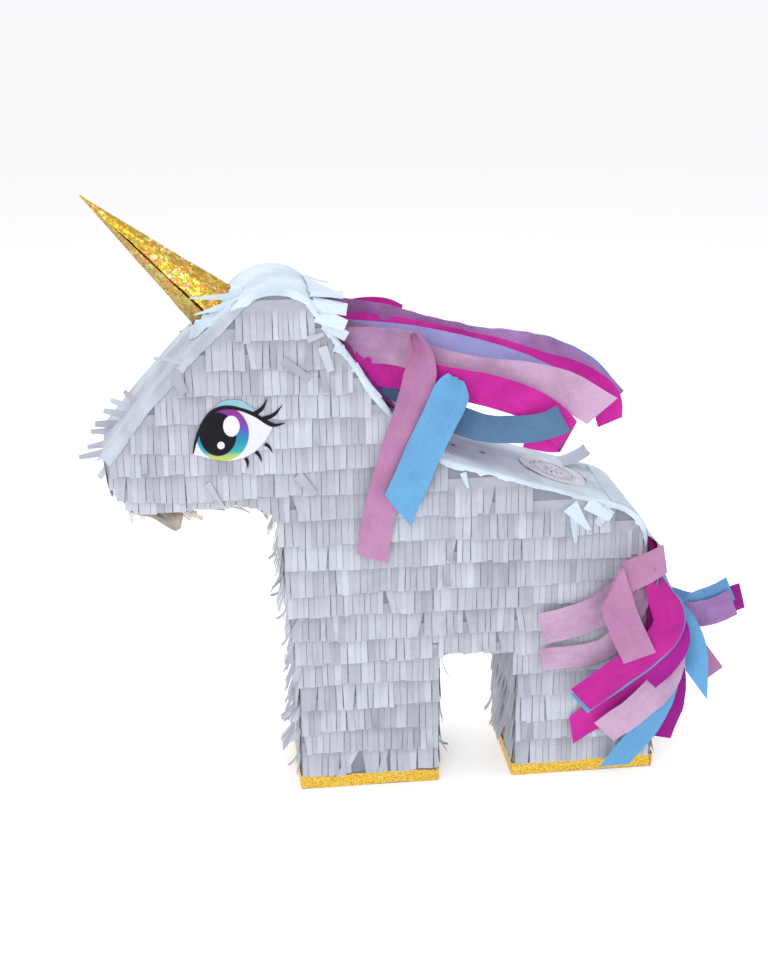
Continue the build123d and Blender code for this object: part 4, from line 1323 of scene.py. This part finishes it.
HORN_GOLD = gold("holographic_gold", 0.0011, 0.30, 0.85)
BAND_GOLD = gold("gold_glitter", 0.0008, 0.34, 0.15)

HORN_FOOT = np.array([-0.171, 0.0, 0.421])
# The cone's cut across its foot, in mm (up, aside), and the painted shade of each corner: 1 where lit,
# darker on the lower faces, 0 at the seam's edges
HORN_SECTION = [(-4.6, -20.2), (-6.2, -23.8), (-24, 0), (-7, 23), (13, 20), (25, 0), (14.2, -20.8),
                (-3.4, -25.2), (-4.4, -21.0)]
HORN_PAINTED_SHADES = [0.0, 0.62, 0.45, 0.9, 1.0, 0.92, 1.0, 1.0, 0.0]
HORN_SIDE_STEPS = 5        # columns of points from one corner of the section to the next


def horn():
    """The paper horn: a folded cone of gold film whose near edge overlaps, leaving an open seam."""
    rng = np.random.default_rng(SEED + 80)
    tip = np.array([low("horn").x, 0.0, high("horn").z])
    axis = unit(tip - HORN_FOOT)
    up = unit(np.array([axis[2], 0.0, -axis[0]]))
    section = np.array(HORN_SECTION, float) * MM
    section[:, 1] *= high("horn").y / section[:, 1].max()
    parts = np.arange(HORN_SIDE_STEPS)[:, None] / HORN_SIDE_STEPS
    columns = [start + (end - start) * parts for start, end in zip(section, section[1:])]
    columns = np.vstack(columns + [section[-1:]])
    count, rows = len(columns), 60
    t = np.linspace(0, 1, rows + 1)[:, None]
    length = float(np.linalg.norm(tip - HORN_FOOT))
    wave = ripples(rng, 0.05, 0.009, 7)
    gone = line_distances(columns)[None, :]
    shrink = np.maximum(1 - t, 0.028)
    dent = 1 + 0.010 * wave(t * length, gone * (0.35 + 0.65 * (1 - t)))
    edge = (np.arange(count) >= count - 7).astype(float)
    crooked = 0.00035 + 0.0004 * ripples(rng, 0.06, 0.012, 5)(t * length, 0.0)
    crooked = crooked * edge[None, :] * np.minimum(1, (1 - t) * 6)
    a = columns[:, 0][None, :] * shrink * dent + crooked
    b = columns[:, 1][None, :] * shrink * dent - np.abs(crooked) * 0.7
    ragged = 0.0012 * wave(gone * 3.0, 0.3) * (t < 0.5 / rows)
    dim = np.interp(np.arange(count) / HORN_SIDE_STEPS, np.arange(len(section)), HORN_PAINTED_SHADES)
    points = HORN_FOOT + axis * (t * length + ragged)[..., None] + up * a[..., None]
    points = points + np.array([0, 1.0, 0]) * b[..., None]
    piece = mesh_piece("horn_cone", points, grid_faces(rows + 1, count), HORN_GOLD, "shell",
                       FILM, np.broadcast_to(dim, points.shape[:2]))
    flags = []
    for side in piece.data.edges:
        i, j = (vertex % count for vertex in side.vertices)
        flags.append(side.use_edge_sharp or (i == j and i % HORN_SIDE_STEPS == 0 and i < count - 1))
    piece.data.edges.foreach_set("use_edge_sharp", flags)
    declare("horn")


def horn_collar():
    """Torn tissue round the foot of the horn, lying down over the head."""
    rng = np.random.default_rng(SEED + 81)
    middle = HEAD_TOP.nearest(HORN_FOOT[0], HORN_FOOT[2])
    around, rings = 96, 12
    turn = np.linspace(0, 2 * math.pi, around + 1)[None, :]
    inner = 0.0245 - 0.0015 * np.cos(3 * turn)
    spikes = ripples(rng, 1.2, 0.18, 6)(turn, 0.0)
    outer = np.minimum(0.0335 + 0.0028 * spikes, 0.036)
    radius = inner + (outer - inner) * np.linspace(0, 1, rings)[:, None]
    height = 0.0016 + 0.0062 * np.exp(-((radius - inner) / 0.0022)) * (1 + 0.3 * spikes)
    s = middle + radius * np.cos(turn)
    y = np.clip(radius * np.sin(turn), -0.030, 0.030)
    points, faces = HEAD_TOP.place(y, s, height), grid_faces(rings, around + 1)
    piece = mesh_piece("horn_collar", points, faces, SMOOTH_WHITE, "shell",
                       tint=0.5 + 0.3 * ripples(rng, 0.02, 0.004)(s, y))
    declare("horn_tabs")


# ---------------------------------------------------------------- eyes

IRIS_MIDDLE, IRIS_SIZE = (-0.0130, 0.0025), (0.0215, 0.0235)
PUPIL_MIDDLE, PUPIL_SIZE = (-0.0165, 0.0020), (0.0150, 0.0185)
GLINTS = [((-0.0055, 0.0085), (0.0066, 0.0088)), ((-0.0145, -0.0075), (0.0030, 0.0032))]


def inside_ellipse(tree, u, v, centre, radii, soft=0.02):
    """1 inside an ellipse in the (u, v) plane, 0 outside."""
    du = maths(tree, "DIVIDE", maths(tree, "SUBTRACT", u, centre[0]), radii[0])
    dv = maths(tree, "DIVIDE", maths(tree, "SUBTRACT", v, centre[1]), radii[1])
    return between(tree, length_of(tree, du, dv), 1 + soft, 1 - soft)


def printed_surface(name):
    """A printed sticker: faint print dots and a slight ripple on satin paper."""
    material, tree, shader = start_material(name, 0.5, Specular_IOR_Level=0.18)
    where = coordinates(tree)
    dots = noise(tree, where, 2500.0, 1.0)
    bump(tree, shader, maths(tree, "MULTIPLY_ADD", dots, 0.05, noise(tree, where, 60.0, 3.0)), 0.0012, 0.5)
    return material, tree, shader, dots


def eyeball_material():
    """The white, the ring of colours, the pupil and two glints."""
    material, tree, shader, dots = printed_surface("eye_print")
    where = node(tree, "SeparateXYZ", {0: coordinates(tree, source="UV")})
    u, v = where.outputs[0], where.outputs[1]
    height = between(tree, v, IRIS_MIDDLE[1] - IRIS_SIZE[1], IRIS_MIDDLE[1] + IRIS_SIZE[1])
    ring = ramp(tree, height, [(0.0, (0.55, 0.62, 0.12)), (0.10, (0.42, 0.60, 0.14)),
                               (0.16, (0.05, 0.42, 0.40)), (0.42, (0.015, 0.26, 0.48)),
                               (0.58, (0.14, 0.08, 0.50)), (0.80, (0.28, 0.04, 0.32)),
                               (1.0, (0.20, 0.025, 0.24))])
    colour = mix(tree, inside_ellipse(tree, u, v, IRIS_MIDDLE, IRIS_SIZE), (0.80, 0.79, 0.84), ring)
    pupil = inside_ellipse(tree, u, v, PUPIL_MIDDLE, PUPIL_SIZE)
    colour = mix(tree, pupil, colour, (0.006, 0.004, 0.010))
    for middle, size in GLINTS:
        colour = mix(tree, inside_ellipse(tree, u, v, middle, size), colour, (0.84, 0.84, 0.90))
    print_dots = ramp(tree, dots, [(0.3, (0.90, 0.90, 0.92)), (0.7, (1.0, 1.0, 1.0))])
    tree.links.new(mix(tree, 1.0, colour, print_dots, "MULTIPLY"), shader.inputs["Base Color"])
    return material


def ink_material(name, colour):
    """Flat ink with faint print dots."""
    material, tree, shader, dots = printed_surface(name)
    shade = ramp(tree, dots, [(0.3, tuple(0.8 * c for c in colour)), (0.7, colour)])
    tree.links.new(shade, shader.inputs["Base Color"])
    return material


EYE_PRINT = eyeball_material()
LID_BLACK = ink_material("lid_ink", (0.008, 0.006, 0.012))
SHADOW_BLUE = ink_material("eye_shadow_ink", (0.30, 0.58, 0.68))

# Round the eye, in mm from the middle of its CAD plate: along the head, then up. The lid runs along the
# first of them.
EYE_ROUND = [(-37, -13.5), (-34.5, -3), (-29, 10), (-21, 20.5), (-10, 24.5), (2, 22.5), (14, 17), (27, 8.5),
             (22.5, -3), (13, -13.5), (2.6, -19), (-9.4, -21), (-21.5, -19), (-31, -16)]
LID_POINTS = 8
EYE_SHADOW = ([(-22, 19.5), (-11, 26.5), (2, 26.5), (15, 19.5)], [0.5, 6, 6.5, 1], 24)
UPPER_LASH, LOWER_LASH = [4.2, 2.8, 0.3], [3.0, 2.2, 0.3]
# The lid and the lashes: each a line, its widths and its number of points
LID_STROKES = [(EYE_ROUND[:LID_POINTS] + [(38, 9.5)], [1.0, 2.2, 3.0, 3.4, 3.2, 2.8, 3.0, 3.6, 0.5], 60),
               ([(12, 17.5), (19.5, 22.5), (24, 31)], [4.2, 3.0, 0.3], 12),
               ([(20, 13.5), (29, 17), (36, 25)], UPPER_LASH, 12),
               ([(21, -7.5), (24.5, -10.5), (27, -15.5)], LOWER_LASH, 9),
               ([(13.5, -14), (16.5, -18), (18, -23.5)], LOWER_LASH, 9),
               ([(5, -19), (6.5, -23), (6.5, -28.0)], LOWER_LASH, 9)]


def stroke(points, widths, count):
    """Quads along a line drawn with changing width."""
    line = smooth_line(points, count)
    width = np.interp(np.linspace(0, 1, count), np.linspace(0, 1, len(widths)), widths)[:, None]
    way = np.gradient(line, axis=0)
    side = unit(np.stack([-way[:, 1], way[:, 0]], 1))
    return np.stack([line - side * width / 2, line + side * width / 2], 1).reshape(-1, 2)


def eye(side, word):
    """A plain cartoon eye as a printed sticker: shadow, eyeball, then the lid and lashes."""
    ripple = ripples(np.random.default_rng(SEED + 90), 0.05, 0.02, 4)

    def lay(name, flat, faces, material, layer):
        flat = flat * MM
        out = FACE + 0.00275 + 0.00016 * layer + 0.00012 * ripple(flat[:, 0], flat[:, 1])
        space = stacked(EYE_MIDDLE.x + flat[:, 0], side * out, EYE_MIDDLE.z + flat[:, 1])
        piece = mesh_piece(name, space, faces, material, "shell", 0.00012, uv=flat)
        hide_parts(f"{word}_eye")

    lay(f"{word}_eye_shadow", stroke(*EYE_SHADOW), grid_faces(EYE_SHADOW[2], 2), SHADOW_BLUE, 0)
    grid = np.stack(np.meshgrid(np.arange(-38, 30, 4.0), np.arange(-22, 27, 4.0)), -1).reshape(-1, 2)
    lay(f"{word}_eyeball", *filled(smooth_line(EYE_ROUND, 110, closed=True), grid), EYE_PRINT, 1)
    points, faces = [], []
    for line, widths, count in LID_STROKES:
        faces += grid_faces(count, 2, sum(len(p) for p in points))
        points.append(stroke(line, widths, count))
    lay(f"{word}_lid_and_lashes", np.concatenate(points), faces, LID_BLACK, 2)


# ---------------------------------------------------------------- feet, door, tie and card

def hoof_bands():
    """A ragged band of gold glitter paper round the foot of each leg."""
    rng = np.random.default_rng(SEED + 95)
    first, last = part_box("hoof_bands")
    proud, bend, rows = last.y - FACE, 0.0022, 6
    y0, y1 = first.y + bend, last.y - bend
    for word in ("front", "rear"):
        sole_low, sole_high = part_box(f"{word}_sole")
        x0, x1 = sole_low.x - proud + bend, sole_high.x + proud - bend
        ring = []
        for x, y, start in ((x1, y0, -90), (x1, y1, 0), (x0, y1, 90), (x0, y0, 180)):
            angle = np.radians(start + np.linspace(0, 90, 6))
            ring.append(np.stack([x + bend * np.cos(angle), y + bend * np.sin(angle)], 1))
        ring = np.vstack(ring + [ring[0][:1]])
        gone = line_distances(ring)
        at = np.linspace(0, gone[-1], 260)
        around = np.stack([np.interp(at, gone, ring[:, k]) for k in (0, 1)], 1)
        slow, fast = ripples(rng, 0.09, 0.02, 5), ripples(rng, 0.012, 0.003, 5)
        top = last.z + 0.0006 * slow(at, 0.0) + 0.0004 * fast(at, 0.0) - 0.0010
        bottom = first.z + 0.0003 * slow(at, 0.4)
        z = bottom + (top - bottom) * np.linspace(0, 1, rows)[:, None]
        xy = around + unit(around - around.mean(0)) * (0.00025 * slow(at, 0.9)[:, None])
        band = mesh_piece(f"{word}_hoof_band", stacked(xy[:, 0], xy[:, 1], z), grid_faces(rows, len(at)),
                          BAND_GOLD, "shell", FILM, np.full(z.shape, 1.0))
        declare("hoof_bands")


# The print on the door: rings of ticks, each (inner radius, outer radius, ticks, share inked), and a line
STAMP_TICKS = [(0.0166, 0.0196, 40, 0.50), (0.0140, 0.0152, 22, 0.35), (0.0030, 0.0092, 9, 0.30)]
STAMP_LINE = (0.0206, 0.0212)


def stamp_material():
    """White tissue printed with a plain ring of ticks and dots, with no lettering."""
    material = white_tissue("printed_tissue", (0.74, 0.76, 0.82), (0.88, 0.90, 0.95))
    tree = material.node_tree
    shader = tree.nodes["Principled BSDF"]
    plain = shader.inputs["Base Color"].links[0].from_socket
    where = node(tree, "SeparateXYZ", {0: coordinates(tree, source="UV")})
    u, v = where.outputs[0], where.outputs[1]
    radius, angle = length_of(tree, u, v), maths(tree, "ARCTAN2", v, u)

    def band(inner, outer):
        return maths(tree, "MULTIPLY", maths(tree, "GREATER_THAN", radius, inner),
                     maths(tree, "LESS_THAN", radius, outer))

    ink = band(*STAMP_LINE)
    for inner, outer, count, share in STAMP_TICKS:
        turn = maths(tree, "FRACT", maths(tree, "MULTIPLY", angle, count / (2 * math.pi)))
        ticks = maths(tree, "MULTIPLY", band(inner, outer), maths(tree, "LESS_THAN", turn, share))
        ink = maths(tree, "MAXIMUM", ink, ticks)
    worn = between(tree, noise(tree, coordinates(tree), 420.0, 4.0), 0.36, 0.54)
    printed = mix(tree, maths(tree, "MULTIPLY", ink, worn), plain, (0.10, 0.03, 0.10))
    tree.links.new(printed, shader.inputs["Base Color"])
    return material


def door():
    """The printed tissue over the fill door."""
    rng = np.random.default_rng(SEED + 96)
    spot, out = BACK.at(DOOR_S)
    rings, around = 16, 72
    radius = np.linspace(0, 1, rings + 1)[1:, None]
    turn = np.linspace(0, 2 * math.pi, around, endpoint=False)[None, :]
    edge = DOOR_RADIUS - 0.0002 + 0.0002 * np.sin(turn * 9)
    u, v = radius * edge * np.cos(turn), radius * edge * np.sin(turn)
    u, v = np.append(0.0, u.ravel()), np.append(0.0, v.ravel())
    height = 0.0011 + 0.00025 * ripples(rng, 0.03, 0.006, 7)(u, v)
    x = spot[0] + out[1] * u + out[0] * height
    z = spot[1] - out[0] * u + out[1] * height
    faces = [(0, 1 + k, 1 + (k + 1) % around) for k in range(around)]
    for r in range(rings - 1):
        for k in range(around):
            a, b = 1 + r * around + k, 1 + r * around + (k + 1) % around
            faces.append((a, a + around, b + around, b))
    piece = mesh_piece("door_tissue", stacked(x, v, z), faces, stamp_material(), "fill_door",
                       tint=0.5 + 0.3 * ripples(rng, 0.02, 0.005)(u, v), uv=stacked(u, v))
    declare("fill_stamp")


def clear_tape():
    """Thin tape that lets the tissue show, with a slight haze."""
    material, tree, shader = start_material("clear_tape", 0.18, IOR=1.47, Alpha=0.30)
    haze = noise(tree, coordinates(tree), 120.0, 3.0)
    pale = ramp(tree, haze, [(0.3, (0.88, 0.90, 0.93)), (0.7, (0.95, 0.96, 0.98))])
    tree.links.new(pale, shader.inputs["Base Color"])
    bump(tree, shader, haze, 0.0004, 0.6)
    return material


TIE_HALF = 0.0485          # half the length of the tail's crushed root


def tail_tie():
    """The glued ends of the tail's streamers, crushed into a roll across the rump."""
    rng = np.random.default_rng(SEED + 97)
    first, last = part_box("tail_tie")
    middle = (first + last) / 2
    columns, rows = 90, 28
    y = np.linspace(-TIE_HALF, TIE_HALF, columns)[None, :]
    turn = np.linspace(-2.4, 2.4, rows)[:, None]
    crumple = ripples(rng, 0.030, 0.005, 10)
    a, b = 0.0035, (last.z - first.z) / 2
    swell = 0.92 + 0.13 * crumple(y, turn * a) - 0.25 * np.clip(np.abs(y) / TIE_HALF - 0.9, 0, 1)
    x = first.x + 0.001 + a * swell * np.cos(turn)
    z = middle.z - 0.004 + b * swell * np.sin(turn)
    piece = mesh_piece("tail_root_roll", stacked(x, y, z), grid_faces(rows, columns), TIE_MAGENTA, "tail",
                       0.0005, 0.6 + 0.3 * crumple(y, turn * a), stacked(y, turn * a))
    declare("tail_tie")
    ends = []
    for k in range(4):
        base = (middle.x / MM - 10 + 2.6 * k, -TIE_HALF / MM - 3, middle.z / MM + 7 - 5.5 * k)
        ends.append((base, (0.25, -0.15, -0.85), (-0.3, -1, 0.2), rng.uniform(10, 14), 5.5, 3.5,
                     rng.uniform(-0.2, 0.4)))
    loose_fingers("tail_root_ends", rng, ends, TIE_MAGENTA, None, "tail",
                  CREPE)


horn()
horn_collar()
eye(-1, "left")
eye(1, "right")
hoof_bands()
door()
tail_tie()
whiskers()
chin()
torn_flaps()

CARD_NODES = ("left_side_panel", "right_side_panel", "forehead_strip", "crown_strip", "nape_strip",
              "back_strip", "rump_strip", "rear_edge_strip", "rear_leg_inner_strip", "belly_strip",
              "front_leg_inner_strip", "chest_strip", "throat_strip", "jaw_strip", "nose_strip",
              "front_sole", "rear_sole", "hanger_card", "fill_door")
for name, material in [(name, CARD) for name in CARD_NODES] + [("door_tape", clear_tape())]:
    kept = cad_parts[name].data
    kept.materials.clear()
    kept.materials.append(material)




# ---------------------------------------------------------------- floor, light and camera

def area_light(name, place, aim, size, power):
    """A round soft lamp at a place, turned to its aim."""
    light = bpy.data.lights.new(name, "AREA")
    light.shape, light.size, light.energy = "DISK", size, power
    lamp = bpy.data.objects.new(name, light)
    lamp.location = place
    lamp.rotation_euler = (Vector(aim) - Vector(place)).to_track_quat("-Z", "Y").to_euler()
    bpy.context.scene.collection.objects.link(lamp)


def studio():
    """A pale floor, a soft sky and three large soft lamps."""
    material, tree, shader = start_material("floor", 0.6, Emission_Color=(1.0, 1.0, 1.0, 1.0),
                                            Emission_Strength=0.42)
    speckle = noise(tree, coordinates(tree), 40.0, 3.0)
    tree.links.new(ramp(tree, speckle, [(0.0, (0.86, 0.86, 0.87)), (1.0, (0.90, 0.90, 0.91))]),
                   shader.inputs["Base Color"])
    bpy.ops.mesh.primitive_plane_add(size=60.0, location=(0, 0, 0))
    floor = bpy.context.active_object
    floor.name = "floor"
    floor.data.materials.append(material)
    world = bpy.data.worlds.new("studio")
    bpy.context.scene.world = world
    world.use_nodes = True
    sky = world.node_tree.nodes["Background"]
    sky.inputs["Color"].default_value = (0.96, 0.97, 1.0, 1.0)
    sky.inputs["Strength"].default_value = 0.60
    area_light("top", (-0.3, 0.3, 1.9), (0.0, 0.0, 0.25), 1.4, 13.0)
    area_light("front", (-0.9, -1.9, 1.3), (0.0, 0.0, 0.2), 1.2, 17.0)
    area_light("tail", (1.6, -0.6, 1.0), (0.0, 0.0, 0.2), 0.8, 4.0)


CAMERA_TARGET = Vector((-0.040, 0.0, 0.2666))
CAMERA_TURN = math.radians(-7.0)       # round the object, towards its head
CAMERA_RISE = math.radians(20.5)       # above level
CAMERA_DISTANCE = 1.25
LENS, SENSOR_WIDTH = 53.1, 36.0        # in mm


def camera():
    """The camera, at a point on a sphere about its target."""
    level = math.cos(CAMERA_RISE)
    back = Vector((math.sin(CAMERA_TURN) * level, -math.cos(CAMERA_TURN) * level, math.sin(CAMERA_RISE)))
    data = bpy.data.cameras.new("camera")
    data.lens, data.sensor_width = LENS, SENSOR_WIDTH
    viewer = bpy.data.objects.new("camera", data)
    viewer.location = CAMERA_TARGET + back * CAMERA_DISTANCE
    viewer.rotation_euler = (-back).to_track_quat("-Z", "Y").to_euler()
    bpy.context.scene.collection.objects.link(viewer)
    bpy.context.scene.camera = viewer


studio()
camera()
bpy.context.scene.view_settings.view_transform = "Standard"
